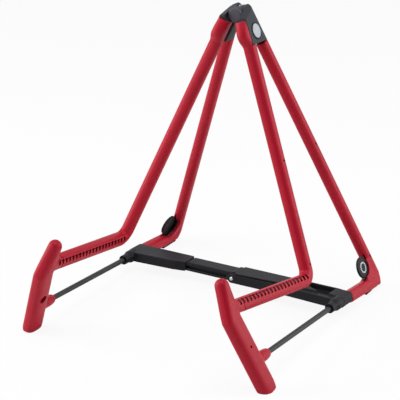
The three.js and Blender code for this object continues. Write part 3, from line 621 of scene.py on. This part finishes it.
@dataclass(frozen=True)
class Steel:
    """Steel bar or turned steel, with fine lines left by drawing or turning along one axis.

    Attributes:
        name: What the finish is called.
        tone: Its main colour.
        deep: The colour between the lines.
        metallic: One for bare steel, less under a black coat.
        roughness: How dull it is.
        lines: The spacing of the lines in millimetres.
        relief: How strongly the lines stand out.
        relief_depth: The height of the lines in millimetres.
        spread: How much duller or glossier the lines are.
        stretch: How the lines run: the coordinates are squeezed by these along X, Y and Z.
    """

    name: str
    tone: str
    deep: str
    metallic: float
    roughness: float
    lines: float = 0.5
    relief: float = 0.12
    relief_depth: float = 0.03
    spread: float = 0.07
    stretch: Triple = (1.0, 0.03, 1.0)

    @cached_property
    def material(self) -> Material:
        """The finish as a Blender material, made once.

        Returns:
            The material.
        """
        material, tree, shader = new_material(self.name)
        place = add_node(
            tree,
            "ShaderNodeMapping",
            inputs={"Scale": self.stretch, "Vector": add_node(tree, "ShaderNodeTexCoord").outputs["Object"]},
        ).outputs["Vector"]
        streaks = add_node(
            tree,
            "ShaderNodeTexNoise",
            inputs={"Scale": 1 / (self.lines * MM), "Detail": 3.0, "Roughness": 0.65, "Vector": place},
        ).outputs["Fac"]
        tone = add_node(
            tree,
            "ShaderNodeMix",
            inputs={6: linear(self.deep), 7: linear(self.tone), 0: streaks},
            data_type="RGBA",
        )
        shader.inputs["Metallic"].default_value = self.metallic
        give_surface(shader, self, tone.outputs[2], streaks, streaks)
        return material


# Red ABS: a satin that takes broad soft highlights, with painted shade that darkens its slots to a deep red
RED = MouldedPlastic("red_abs", "BA1A30", "A6162A", "CC4250", 0.4, recess_shade="44040C")
# Charcoal ABS: nearly black, a little duller, with paler edges that tell its faces apart
BLACK = MouldedPlastic("charcoal_abs", "1F1E24", "18171B", "423F48", 0.5, wear=0.35)
# Polyamide of the brackets: greyer than the crossbar
BRACKET = MouldedPlastic("bracket_polyamide", "393A40", "323339", "5C5C64", 0.5, wear=0.35)
# Polyamide of the corner discs: the darkest, with a slight sheen
DISC = MouldedPlastic("disc_polyamide", "141318", "100F13", "2E2C33", 0.45, wear=0.35)
# Grey ABS of the hinge cap
CAP = MouldedPlastic("grey_abs", "55525B", "4A4850", "6E6A74", 0.5)
# Elastomer of the soles: matt, with a coarser grain
SOLE = MouldedPlastic("sole_elastomer", "4E0E18", "420A14", "622028", 0.75, grain=1.1, relief=0.3)
# Print on the badges and rings: pale and nearly smooth
PALE = MouldedPlastic("pale_print", "C2C7CC", "B4BAC0", "D2D6DA", 0.35, grain=0.6, relief=0.08)
# Drawn steel under a black coat: dull, with faint lines along the rod
ROD = Steel("black_coated_steel", "2B2C2F", "1D1E21", 0.35, 0.48)
# Bare turned steel: bright, and the same from all sides
BRIGHT = Steel("bare_steel", "D4D6D8", "A4A7AA", 1.0, 0.28, lines=0.3, stretch=(1.0, 1.0, 1.0))


def dress(piece: Piece, finish: MouldedPlastic | Steel) -> Piece:
    """Gives a piece one finish all over.

    Args:
        piece: The piece.
        finish: Its finish.

    Returns:
        The same piece.
    """
    piece.data.materials.clear()
    piece.data.materials.append(finish.material)
    return piece


# The stance and the side frames


@dataclass(frozen=True)
class Stance:
    """How the stand stands, in millimetres and radians.

    Attributes:
        pin_height: The height of the hinge pin's front end.
        pin_back: Its distance behind the middle of the stand.
        tilt: How far each side leans outwards.
        pitch: How far the pin points down in front.
        middle: The distance of the side's own plane from the pin.
    """

    pin_height: float = 330.0
    pin_back: float = 60.605
    tilt: float = math.radians(22.03)
    pitch: float = math.radians(4.09)
    middle: float = 7.57

    def rise_at(self, along: float, height: float) -> float:
        """The height in the side frame of a place that is some height above the floor."""
        upright = (height - self.pin_height + along * math.sin(self.pitch)) / math.cos(self.pitch)
        return (upright - self.middle * math.sin(self.tilt)) / math.cos(self.tilt)

    def side_place(self) -> Matrix:
        """From the right side's own frame to the stand's."""
        lift = Matrix.Translation(Vector((0, self.pin_back, self.pin_height)) * MM)
        return lift @ Matrix.Rotation(-self.pitch, 4, "X") @ Matrix.Rotation(-self.tilt, 4, "Y")


def heading_of(start: Vector, end: Vector) -> float:
    """The direction from one place to another in the side's plane, in radians."""
    return math.atan2(end.y - start.y, end.x - start.x)


def ahead_of(heading: float) -> Vector:
    """The unit step in the side's plane along a heading."""
    return Vector((math.cos(heading), math.sin(heading)))


def between(first: float, last: float, share: float) -> float:
    """A size that is some share of the way from one to another."""
    return first + (last - first) * share


def cornered(start: Vector, corner: Vector, end: Vector, radius: float, steps: int) -> Route:
    """The route of a bar with one rounded bend.

    Args:
        start: Its first place.
        corner: Where its two straights would meet.
        end: Its last place.
        radius: The bend's radius on the bar's centre line.
        steps: The number of steps in the bend.

    Returns:
        Places along it, each with a heading and its share of the bend.
    """
    before, after = heading_of(start, corner), heading_of(corner, end)
    turn = math.atan2(math.sin(after - before), math.cos(after - before))
    side = math.copysign(1, turn)
    reach = radius * math.tan(abs(turn) / 2)
    entry = corner - ahead_of(before) * reach
    centre = entry + Vector((-math.sin(before), math.cos(before))) * side * radius
    route = [(start, before, 0.0)]
    for step in range(steps + 1):
        heading = before + turn * step / steps
        outward = Vector((math.sin(heading), -math.cos(heading))) * side * radius
        route.append((centre + outward, heading, step / steps))
    route.append((end, after, 1.0))
    return route


@dataclass
class SideFrame:
    """One side of the stand: front arm with its cradle, foot, rear leg, and what is fixed to them.

    It is modelled as the right side, in millimetres in the side's own plane.
    """

    stance: Stance
    # Squareness of the outlines
    round_outline: float = 2.2
    pod_outline: float = 2.5
    flat_outline: float = 3.0
    cradle_outline: float = 3.2
    # The front arm and the swelling, or pod, under the hinge
    arm_width: float = 14.3
    arm_top: float = -9.0
    arm_top_back: float = 3.0
    arm_edge: float = 0.35
    arm_edge_angle: float = math.radians(42)
    bend: Vector = field(init=False)
    bend_radius: float = 12.0
    bend_steps: int = 14
    pod_length: float = 28.0
    pod_bulge: float = 7.4
    pod_flare: float = 0.4
    pod_shares: Row = (0.56, 0.64, 0.74, 0.84, 0.91, 0.96, 1.0, 0.98, 0.9, 0.74, 0.46, 0.15)
    bracket_room: Corners = ((12.05, -5.15, -36.35), (30.0, 40.0, 0.0))
    # The cradle, its slots, the hollow behind each row of them and the seam with its tenon
    cradle_end: Vector = field(init=False)
    cradle_depth: float = 14.8
    cradle_thickness: float = 14.0
    slot_count: int = 21
    foot_slot_count: int = 2
    slot_start: float = 13.6
    slot_pitch: float = 7.2
    slot_width: float = 3.8
    slot_height: float = 5.9
    slot_below_top: float = 1.0
    slot_depth: float = 6.2
    slot_wall: float = 1.0
    slot_edge: float = 0.4
    slot_lean: float = math.radians(18)
    hollow_inset: Triple = (0.2, 0.1, 0.3)
    seam_gap: float = 0.49
    tenon_half: Triple = (1.5, 4.3, 6.6)
    tenon_play: float = 0.2
    # The foot, from the horn's round top over the kink to the toe
    horn: Vector = field(init=False)
    horn_width: float = 14.8
    horn_steps: int = 7
    horn_close: float = 0.97
    kink: Vector = field(init=False)
    toe: Vector = field(init=False)
    toe_step: float = 2.53
    toe_shares: Row = (1.0, 0.99, 0.965, 0.91, 0.82, 0.68, 0.45)
    foot_width: float = 24.8
    foot_thickness: float = 15.6
    foot_mould: tuple[float, int] = (0.75, 6)
    # The boss for the rod, each ring by its place along the rod and its width, and the rod's bore
    rod_height: float = 19.3
    rod_rise: float = field(init=False)
    boss_profile: Rows = (
        (-171.6, 13.0), (-162.0, 13.0), (-157.0, 12.5), (-152.0, 11.4), (-149.2, 10.0), (-148.0, 8.0)
    )
    bore_from: float = -184.35
    bore_to: float = -130.0
    bore_radius: float = 3.35
    # The foot's side screw: the recess and the hole, each as depths from the inner face a radius and a
    # number of sides
    screw: Vector = field(init=False)
    screw_cuts: Rows = ((-2.0, 6.4, 5.2, SIDES), (6.0, 12.7, 1.9, FEW_SIDES))
    # The rear leg, its heel and the short arm to the crossbar
    leg_width: float = 13.4
    leg_top: float = -36.35
    leg_top_back: float = 15.5
    leg_mould: tuple[float, int] = (0.8, 9)
    heel: Vector = field(init=False)
    heel_radius: float = 8.0
    heel_steps: int = 12
    heel_above: float = 14.0
    heel_past: float = 13.0
    heel_face: Rows = ((-2.4, -6.5), (1.8, 9.0))
    heel_back: Corners = ((-20.0, 0.0, -40.0), (20.0, 40.0, 15.8))
    short_arm_width: float = 13.8
    short_arm_drop: float = 1.5
    short_arm_back: float = 46.35
    short_arm_end: Vector = field(init=False)
    sole_thickness: float = 2.35
    sole_sides: tuple[float, float] = (1.2, 7.2)
    sole_length: float = 31.0
    sole_rise: float = 14.0
    # The web in the heel and the grooves in it for the disc, each as two distances and a radius
    disc: Vector = field(init=False)
    web_half: float = 5.6
    web_above: float = 9.9
    web_slope: Corners = ((-40.0, -80.0, 0.0), (40.0, 80.0, 60.0))
    web_inside: Corners = ((-60.0, -80.0, -40.0), (60.0, 0.0, 80.0))
    disc_cuts: Rows = (
        (-20.0, 3.55, 15.3), (1.65, 3.55, 17.15), (0.0, 4.15, 12.75), (0.0, 20.0, 11.4)
    )
    # Pinholes in the outer faces
    vent_rise: float = -165.0
    vent_above_bend: float = 15.6
    vent_above_heel: float = 31.0
    vent_depth: float = 2.4
    vent_radius: float = 1.5
    # The rim around the badge
    badge: Vector = field(init=False)
    bracket_face: float = 7.35
    rim_sunk: float = 0.2
    rim_proud: float = 0.55
    rim_outer: float = 9.2
    rim_inner: float = 8.0
    rim_edge: float = 0.22

    def __post_init__(self) -> None:
        """Sets the places, most of which hang on their height above the floor."""
        self.bend = self.place(-25.2, 60.4)
        self.cradle_end = self.place(-193.6, 91.1)
        self.horn = self.place(-193.1, 114.2)
        self.kink = self.place(-194.9, 80.7)
        self.toe = self.place(-171.6, 7.5)
        self.screw = self.place(-186.0, 49.3)
        self.heel = self.place(122.9, 6.9)
        self.disc = self.heel + Vector((-28.4, 22.6))
        self.rod_rise = self.stance.rise_at(0, self.rod_height)
        self.short_arm_end = Vector((self.short_arm_back, self.rod_rise - self.short_arm_drop))
        self.badge = Vector((10.9, -22.4))

    def place(self, along: float, height: float) -> Vector:
        """A place in the side's plane from its height above the floor."""
        return Vector((along, self.stance.rise_at(along, height)))

    def on_arm(self, rise: float) -> Vector:
        """The place on the front arm's line at a height."""
        return Vector((self.arm_top_back, 0.0)).lerp(self.bend, rise / self.bend.y)

    def on_leg(self, rise: float) -> Vector:
        """The place on the rear leg's line at a height."""
        return Vector((self.leg_top_back, 0.0)).lerp(self.heel, rise / self.heel.y)

    def on_cradle(self, distance: float, above: float = 0.0) -> Vector:
        """A place on the cradle.

        Args:
            distance: How far it is from the foot's line, along the cradle.
            above: How far it is above the cradle's line.

        Returns:
            The place in the side's plane.
        """
        heading = heading_of(self.bend, self.cradle_end)
        length = (self.cradle_end - self.bend).length
        normal = Vector((math.sin(heading), -math.cos(heading)))
        return self.cradle_end.lerp(self.bend, distance / length) + normal * above

    def point(self, at: Vector, out: float = 0.0) -> Vector:
        """A point in space from a place in the plane and its distance outwards from the plane."""
        return Vector((self.stance.middle + out, at.x, at.y))

    def drum(self, at: Vector, low: float, high: float, radius: float, sides: int) -> Piece:
        """A round bar that runs outwards through a place, between two distances from the plane."""
        return bar_between(self.point(at, low), self.point(at, high), radius, sides)

    def turned_block(self, at: Vector, heading: float, low: Vector, high: Vector) -> Piece:
        """A block between two corners that are measured from a place, along a heading in the plane."""
        place = Matrix.Translation(self.point(at) * MM) @ Matrix.Rotation(heading, 4, "X")
        return settle(block_between(low, high), place)

    def cut_slots(self, piece: Piece, count: int, first: float) -> None:
        """Cuts a run of slots into both faces of the cradle, and the hollow behind each row.

        Args:
            piece: The moulding to cut.
            count: How many slots there are in the run.
            first: The distance of the first from the foot's line.
        """
        above = self.cradle_depth / 2 - self.slot_below_top - self.slot_height / 2
        turn = Matrix.Rotation(heading_of(self.cradle_end, self.bend), 4, "X")
        size = Vector((2 * self.slot_depth, self.slot_width, self.slot_height))
        behind, beside, under = self.hollow_inset
        wide, tall = self.slot_width / 2 - beside, self.slot_height / 2 - under
        length = (count - 1) * self.slot_pitch
        for side in (1, -1):
            face = self.point(self.on_cradle(first, above), side * self.cradle_thickness / 2)
            place = Matrix.Translation(face * MM) @ turn
            cutter = block_between(-size / 2, size / 2)
            finish_with(cutter, "BEVEL", width=self.slot_edge * MM, segments=2, limit_method="NONE")
            settle(cutter, Matrix.Rotation(self.slot_lean, 4, "X"))
            row = {"use_relative_offset": False, "use_constant_offset": True}
            pitch = (0, self.slot_pitch * MM, 0)
            finish_with(cutter, "ARRAY", count=count, constant_offset_displace=pitch, **row)
            combine(piece, settle(cutter, place), Cut.TAKE)
            near, far = sorted((-side * self.slot_wall, -side * (self.slot_depth - behind)))
            hollow = block_between(Vector((near, -wide, -tall)), Vector((far, length + wide, tall)))
            combine(piece, settle(hollow, place), Cut.TAKE)

    def tenon(self, play: float) -> Piece:
        """The plate that bridges the seam inside, or the cutter of its socket.

        Args:
            play: How much larger it is than the plate, all round.

        Returns:
            The plate or the cutter.
        """
        half = Vector(self.tenon_half) + Vector((play, play, play))
        seam = self.on_cradle(self.slot_start + self.slot_pitch)
        return self.turned_block(seam, heading_of(self.cradle_end, self.bend), -half, half)

    def cut_vents(self, piece: Piece, face: float, *places: Vector) -> None:
        """Cuts pinholes into an outer face.

        Args:
            piece: The moulding to cut.
            face: The distance of its face from the side's plane.
            places: The places of the pinholes.
        """
        low, high = face - self.vent_depth, face + 2 * self.vent_radius
        for at in places:
            combine(piece, self.drum(at, low, high, self.vent_radius, FEW_SIDES), Cut.TAKE)

    def trimmed(self, piece: Piece, height: float) -> Piece:
        """Cuts off what reaches lower than a height above the floor.

        Args:
            piece: The solid to cut.
            height: The height in millimetres.

        Returns:
            The same solid.
        """
        settle(piece, self.stance.side_place())
        ground = block_between(Vector((-FAR, -FAR, -FAR / 4)), Vector((FAR, FAR, height)))
        combine(piece, ground, Cut.TAKE)
        return settle(piece, self.stance.side_place().inverted())

    def tube(self, route: Route, first: Triple, last: Triple) -> list[Station]:
        """The rings of a tube that changes along its route.

        Args:
            route: Places, each with a heading and its share of the change.
            first: The width, thickness and squareness before the change.
            last: The same three after it.

        Returns:
            The rings.
        """
        return [
            Station(at, heading, *(between(*ends, share) for ends in zip(first, last)))
            for at, heading, share in route
        ]

    def front_arm(self) -> Piece:
        """The front arm: the swelling under the hinge, the straight, the bend and the slotted cradle.

        Returns:
            The moulding.
        """
        top = self.on_arm(self.arm_top)
        pod_end = self.on_arm(self.arm_top - self.pod_length)
        seam = self.on_cradle(self.slot_start + self.slot_pitch + self.seam_gap)
        route = cornered(pod_end, self.bend, seam, self.bend_radius, self.bend_steps)
        stations = []
        for step, share in enumerate(self.pod_shares):
            swell = self.pod_bulge * share
            at = top.lerp(pod_end, step / len(self.pod_shares))
            width, thickness = self.arm_width + swell, self.arm_width + self.pod_flare * share
            stations.append(Station(at, route[0][1], width, thickness, self.pod_outline, -swell / 2))
        straight = (self.arm_width, self.arm_width, self.round_outline)
        cradle = (self.cradle_depth, self.cradle_thickness, self.cradle_outline)
        stations += self.tube(route, straight, cradle)
        arm = sweep("front_arm_right", stations, self.stance.middle)
        self.cut_slots(arm, self.slot_count - 1, self.slot_start + self.slot_pitch)
        places = [self.on_arm(rise) for rise in (self.vent_rise, self.bend.y + self.vent_above_bend)]
        self.cut_vents(arm, self.arm_width / 2, *places)
        combine(arm, block_between(*map(Vector, self.bracket_room)), Cut.TAKE)
        edge = {"width": self.arm_edge * MM, "segments": 2, "angle_limit": self.arm_edge_angle}
        finish_with(arm, "BEVEL", limit_method="ANGLE", **edge)
        return combine(arm, self.tenon(self.tenon_play), Cut.TAKE)

    def foot(self) -> Piece:
        """The foot: a blade with a rounded horn and toe, the stub of the cradle and the boss for the rod.

        Returns:
            The moulding.
        """
        upper, lower = heading_of(self.horn, self.kink), heading_of(self.kink, self.toe)
        stations = []
        for step in range(self.horn_steps, 0, -1):
            turn = math.pi / 2 * step / self.horn_steps * self.horn_close
            at = self.horn - ahead_of(upper) * self.horn_width / 2 * math.sin(turn)
            size = self.horn_width * math.cos(turn)
            stations.append(Station(at, upper, size, size, self.round_outline))
        horn = (self.horn_width, self.horn_width, self.round_outline)
        swell = [(self.horn.lerp(self.kink, share), upper, share) for share in (0.0, 0.2, 0.4, 0.6, 0.8)]
        stations += self.tube(swell, horn, (self.foot_width, self.foot_thickness, self.cradle_outline))
        for share in (0.0, 0.25, 0.5, 0.75):
            heading = lower if share else (upper + lower) / 2
            at = self.kink.lerp(self.toe, share)
            stations.append(Station(at, heading, self.foot_width, self.foot_thickness, self.flat_outline))
        for step, share in enumerate(self.toe_shares):
            at = self.toe + ahead_of(lower) * step * self.toe_step
            width, thickness = self.foot_width * share, self.foot_thickness * math.sqrt(share)
            shift = self.foot_width * (1 - share) / 4
            stations.append(Station(at, lower, width, thickness, self.flat_outline, shift))
        foot = sweep("foot_right", stations, self.stance.middle)
        combine(foot, self.stub(), Cut.JOIN)
        combine(foot, self.boss(), Cut.JOIN)
        moulded(self.trimmed(foot, 0), *self.foot_mould)
        return self.machined_foot(foot)

    def stub(self) -> Piece:
        """The stub of the foot that meets the cradle.

        Returns:
            The stub.
        """
        heading = heading_of(self.bend, self.cradle_end) + math.pi
        ends = ((0.0, self.foot_thickness), (self.slot_start + self.slot_pitch, self.cradle_thickness))
        stations = [
            Station(self.on_cradle(distance), heading, self.cradle_depth, thickness, self.cradle_outline)
            for distance, thickness in ends
        ]
        return sweep("stub", stations, self.stance.middle)

    def boss(self) -> Piece:
        """The boss at the back of the foot that takes the rod.

        Returns:
            The boss.
        """
        stations = [
            Station(Vector((along, self.rod_rise)), 0.0, width, width, 2.0)
            for along, width in self.boss_profile
        ]
        return sweep("boss", stations, self.stance.middle, SIDES)

    def machined_foot(self, foot: Piece) -> Piece:
        """Cuts the slots, the screw's recess, the pinhole and the rod's bore into the foot.

        Args:
            foot: The foot without them.

        Returns:
            The same foot.
        """
        half = self.foot_thickness / 2
        self.cut_slots(foot, self.foot_slot_count, self.slot_start)
        for low, high, radius, sides in self.screw_cuts:
            combine(foot, self.drum(self.screw, low - half, high - half, radius, sides), Cut.TAKE)
        ends = [self.point(Vector((along, self.rod_rise))) for along in (self.bore_from, self.bore_to)]
        self.cut_vents(foot, half, self.screw)
        combine(foot, bar_between(*ends, self.bore_radius, SIDES), Cut.TAKE)
        return combine(foot, self.tenon(0), Cut.JOIN)

    def rear_leg(self) -> Piece:
        """The rear leg: the straight, the heel with its sole, and the short arm forwards to the crossbar.

        Returns:
            The moulding.
        """
        top = self.on_leg(self.leg_top)
        route = cornered(top, self.heel, self.short_arm_end, self.heel_radius, self.heel_steps)
        straight = (self.leg_width, self.leg_width, self.round_outline)
        short_arm = (self.short_arm_width, self.short_arm_width, self.flat_outline)
        leg = sweep("rear_leg_right", self.tube(route, straight, short_arm), self.stance.middle)
        for solid in (self.mitre(), self.web(), self.sole_block()):
            combine(leg, solid, Cut.JOIN)
        combine(leg, self.heel_cutter(), Cut.TAKE)
        moulded(self.trimmed(leg, self.sole_thickness), *self.leg_mould)
        places = [self.on_leg(rise) for rise in (self.vent_rise, self.heel.y + self.vent_above_heel)]
        self.cut_vents(leg, self.leg_width / 2, *places)
        for low, high, radius in self.disc_cuts:
            combine(leg, self.drum(self.disc, low, high, radius, MANY_SIDES), Cut.TAKE)
        return leg

    def mitre(self) -> Piece:
        """The sharp outer corner of the heel.

        Returns:
            The corner.
        """
        solids = []
        above, ahead = self.on_leg(self.heel.y + self.heel_above), self.short_arm_end.lerp(self.heel, 0.5)
        for start, width in ((above, self.leg_width), (ahead, self.short_arm_width)):
            heading = heading_of(start, self.heel)
            past = self.heel + ahead_of(heading) * self.heel_past
            stations = [Station(at, heading, width, width, self.flat_outline) for at in (start, past)]
            solids.append(sweep("mitre", stations, self.stance.middle))
        return combine(solids[0], solids[1], Cut.KEEP)

    def web(self) -> Piece:
        """The web in the inner corner of the heel that holds the disc.

        Returns:
            The web.
        """
        top = self.disc.y + self.web_above
        web = block_between(
            self.point(Vector((self.disc.x, self.heel.y)), -self.web_half),
            self.point(Vector((self.heel.x, top)), self.web_half),
        )
        slope = heading_of(self.disc, self.on_leg(top))
        combine(web, self.turned_block(self.disc, slope, *map(Vector, self.web_slope)), Cut.TAKE)
        inside = heading_of(self.heel, self.on_leg(0)) - math.pi / 2
        return combine(web, self.turned_block(self.heel, inside, *map(Vector, self.web_inside)), Cut.KEEP)

    def sole_block(self) -> Piece:
        """The narrow block under the heel that the sole is fixed to.

        Returns:
            The block.
        """
        inner, outer = self.sole_sides
        low = Vector((inner, self.heel.x - self.sole_length, self.heel.y - self.sole_rise))
        return block_between(low, Vector((outer, self.heel.x + self.leg_width / 2, self.heel.y)))

    def heel_cutter(self) -> Piece:
        """The cutter that ends the heel behind in an upright face."""
        low, high = (self.heel + Vector(end) for end in self.heel_face)
        return self.turned_block(low, heading_of(low, high) - math.pi / 2, *map(Vector, self.heel_back))

    def badge_rim(self) -> Piece:
        """The dark raised rim around the badge.

        Returns:
            The rim.
        """
        low, high = self.bracket_face - self.rim_sunk, self.bracket_face + self.rim_proud
        rim = self.drum(self.badge, low, high, self.rim_outer, MANY_SIDES)
        combine(rim, self.drum(self.badge, low - 1, high + 1, self.rim_inner, MANY_SIDES), Cut.TAKE)
        return finish_with(rim, "BEVEL", width=self.rim_edge * MM, segments=3, limit_method="ANGLE")

    def paired(self, piece: Piece, kind: str, finish: MouldedPlastic) -> Made:
        """Puts a right piece in its place in the stand, dresses it and adds its left twin.

        Args:
            piece: The piece, in the side's own plane.
            kind: The name of both without their side.
            finish: Their finish.

        Returns:
            Both pieces, which stand for no node as yet.
        """
        dress(settle(piece, self.stance.side_place()), finish)
        named(piece, f"{kind}_right")
        twin = mirrored(piece, f"{kind}_left")
        return [(smooth_by_angle(piece), Side.RIGHT.body, ""), (smooth_by_angle(twin), Side.LEFT.body, "")]

    def build(self, nodes: dict[str, Piece]) -> Made:
        """Builds and dresses both sides.

        Args:
            nodes: The CAD nodes.

        Returns:
            Each new piece with the side it rides on and the node it stands for, if any.
        """
        made = []
        for kind, maker in (("front_arm", self.front_arm), ("foot", self.foot), ("rear_leg", self.rear_leg)):
            for piece, body, _ in self.paired(maker(), f"moulded_{kind}", RED):
                made.append((piece, body, piece.name.removeprefix("moulded_")))
        for side in Side:
            for kind, voxel, passes, finish in (
                ("bracket", 0.4, 16, BRACKET),
                ("heel_disc", 0.35, 2, DISC),
                ("heel_pad", 0.4, 2, SOLE),
                ("badge", 0.25, 2, PALE),
                ("heel_ring", 0.25, 2, PALE),
            ):
                node = f"{kind}_{side.value}"
                made.append((dress(traced(nodes, node, voxel, passes), finish), side.body, node))
        return made + self.paired(self.badge_rim(), "badge_rim", BLACK)


@dataclass
class Crossbar:
    """The folding crossbar: the channel with its raised plate, the sleeve and the tongue."""

    mould: tuple[float, int] = (0.5, 2)

    def build(self, nodes: dict[str, Piece]) -> Made:
        """Builds and dresses the bar's moulded pieces.

        Args:
            nodes: The CAD nodes.

        Returns:
            Each new piece with the body it rides on and the node it stands for.
        """
        made = []
        for node, body in (
            ("crossbar_channel", "crossbar_right"),
            ("crossbar_sleeve", "crossbar_left"),
            ("crossbar_tongue", "crossbar_left"),
        ):
            piece = outer_shell(traced(nodes, node, *self.mould))
            made.append((dress(piece, BLACK), body, node))
        return made


@dataclass
class Hinge:
    """The cap in front of the hinge."""

    mould: tuple[float, int] = (0.3, 8)
    cap_scale: float = 1.06

    def build(self, nodes: dict[str, Piece]) -> Made:
        """Builds and dresses the cap.

        Args:
            nodes: The CAD nodes.

        Returns:
            The cap with the body it rides on and the node it stands for.
        """
        cap = traced(nodes, "hinge_cap", *self.mould)
        middle = sum((Vector(corner) for corner in cap.bound_box), Vector()) / 8
        centred = Matrix.Translation(-middle)
        settle(cap, centred.inverted() @ Matrix.Scale(self.cap_scale, 4) @ centred)
        return [(dress(cap, CAP), "hinge", "hinge_cap")]


@dataclass
class Metalwork:
    """The rods, pins, screws, studs and bushes, which keep their CAD shapes.

    Attributes:
        kinds: How the names of the nodes of each finish start. The first that fits counts.
    """

    kinds: tuple[tuple[tuple[str, ...], MouldedPlastic | Steel], ...] = (
        (("rivet", "hinge_pin", "hinge_washer", "hinge_nut"), BRIGHT),
        (("rod_left", "rod_right", "foot_screw", "arm_pin", "leg_pin", "tongue_pin"), ROD),
        (("heel_pad",), SOLE),
        (("badge", "heel_ring"), PALE),
        (("front_arm", "foot", "rear_leg"), RED),
        (("",), BLACK),
    )

    def dress_nodes(self, nodes: dict[str, Piece]) -> None:
        """Gives each CAD node its finish, also the ones that a new piece stands for.

        Args:
            nodes: The CAD nodes.
        """
        for name, node in nodes.items():
            dress(node, next(finish for starts, finish in self.kinds if name.startswith(starts)))


# The studio


@dataclass(frozen=True)
class Studio:
    """A white room: a pale floor, soft lamps and the camera at the photograph's angle."""

    stance: Stance
    focal: float = 163.33
    sensor: float = 36.0
    camera_at: Triple = (909.25, -1672.8, 879.8)
    camera_to: Triple = (-42.996, 0.0, 105.799)
    # Each lamp's name, place, size and power, with places and sizes in millimetres and power in watts
    lamps: tuple[tuple[str, Triple, float, float], ...] = (
        ("left_lamp", (-1500.0, -750.0, 650.0), 1300.0, 25.0),
        ("right_lamp", (1500.0, 950.0, 650.0), 1300.0, 18.0),
        ("top_lamp", (150.0, -350.0, 1700.0), 1100.0, 13.0),
    )
    lamps_to: Triple = (0.0, 0.0, 150.0)
    # How strongly the sky lights the object, and how white the camera sees the floor
    sky: float = 0.28
    floor_glow: float = 0.9
    # Sizes in metres
    floor_size: float = 14.0
    card_size: float = 3.2
    card_distance: float = 2.5

    def build(self) -> None:
        """Makes the room, the lamps and the camera."""
        self.floor()
        self.world()
        self.light()
        self.card()
        self.camera()
        bpy.context.scene.view_settings.view_transform = "Standard"

    def floor(self) -> None:
        """A wide pale floor that looks white and keeps a faint shadow."""
        floor = named(added(bpy.ops.mesh.primitive_plane_add, size=self.floor_size), "floor")
        material, tree, shader = new_material("pale_floor")
        shader.inputs["Roughness"].default_value = 0.9
        shader.inputs["Base Color"].default_value = linear("FAFAFA")
        glow = add_node(tree, "ShaderNodeEmission", inputs={"Color": linear("FFFFFF"), "Strength": 1.0})
        share = add_node(
            tree,
            "ShaderNodeMath",
            inputs={1: self.floor_glow, 0: add_node(tree, "ShaderNodeLightPath").outputs["Is Camera Ray"]},
            operation="MULTIPLY",
        )
        mix = add_node(
            tree,
            "ShaderNodeMixShader",
            inputs={0: share.outputs["Value"], 1: shader.outputs["BSDF"], 2: glow.outputs["Emission"]},
        )
        output = next(node for node in tree.nodes if node.type == "OUTPUT_MATERIAL")
        tree.links.new(mix.outputs["Shader"], output.inputs["Surface"])
        floor.data.materials.append(material)

    def card(self) -> None:
        """A dark card behind the camera, which keeps reflections off the faces that look at it."""
        to = Vector(self.camera_to) * MM
        way = (Vector(self.camera_at) * MM - to).normalized()
        card = added(
            bpy.ops.mesh.primitive_plane_add,
            size=self.card_size,
            location=to + way * self.card_distance,
            rotation=way.to_track_quat("Z", "Y").to_euler(),
        )
        named(card, "card")
        material, _, shader = new_material("dark_card")
        shader.inputs["Roughness"].default_value = 1.0
        shader.inputs["Base Color"].default_value = linear("202022")
        card.visible_camera = False
        card.data.materials.append(material)

    def world(self) -> None:
        """A soft pale sky that the camera and reflections see as white."""
        world = bpy.data.worlds.new("studio")
        bpy.context.scene.world = world
        world.use_nodes = True
        tree = world.node_tree
        tree.nodes.clear()
        path = add_node(tree, "ShaderNodeLightPath").outputs
        seen = path["Is Camera Ray"]
        for other in ("Is Glossy Ray", "Is Transmission Ray"):
            seen = add_node(
                tree, "ShaderNodeMath", inputs={0: seen, 1: path[other]}, operation="MAXIMUM"
            ).outputs["Value"]
        soft, white = (
            add_node(tree, "ShaderNodeBackground", inputs={"Color": linear(colour), "Strength": strength})
            for colour, strength in (("F4F5F7", self.sky), ("FFFFFF", 1.0))
        )
        mix = add_node(
            tree,
            "ShaderNodeMixShader",
            inputs={0: seen, 1: soft.outputs["Background"], 2: white.outputs["Background"]},
        )
        add_node(tree, "ShaderNodeOutputWorld", inputs={"Surface": mix.outputs["Shader"]})

    def light(self) -> None:
        """The soft lamps, which point at the stand."""
        for name, place, size, power in self.lamps:
            at = Vector(place) * MM
            aim = (Vector(self.lamps_to) * MM - at).to_track_quat("-Z", "Y").to_euler()
            lamp = added(bpy.ops.object.light_add, type="AREA", location=at, rotation=aim)
            lamp.name = name
            lamp.data.size = size * MM
            lamp.data.energy = power

    def camera(self) -> None:
        """The camera at the photograph's place."""
        shift = Vector((0, self.stance.pin_back, 0))
        at = (Vector(self.camera_at) + shift) * MM
        to = (Vector(self.camera_to) + shift) * MM
        aim = (to - at).to_track_quat("-Z", "Y").to_euler()
        camera = added(bpy.ops.object.camera_add, location=at, rotation=aim)
        camera.name = "camera"
        camera.data.lens = self.focal
        camera.data.sensor_width = self.sensor
        bpy.context.scene.camera = camera


def main() -> None:
    """Builds the stand and its studio and reports each piece."""
    logging.basicConfig(level=logging.INFO, format="%(message)s")
    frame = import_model()
    nodes = frame["nodes"]
    bpy.ops.object.select_all(action="DESELECT")
    stance = Stance()
    Metalwork().dress_nodes(nodes)
    made = SideFrame(stance).build(nodes) + Crossbar().build(nodes) + Hinge().build(nodes)
    for piece, body, node in made:
        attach(piece, body)
        if node:
            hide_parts(node)
        LOG.info("%s rides on %s, %d faces", piece.name, body, len(piece.data.polygons))
    Studio(stance).build()


if __name__ == "__main__":
    main()
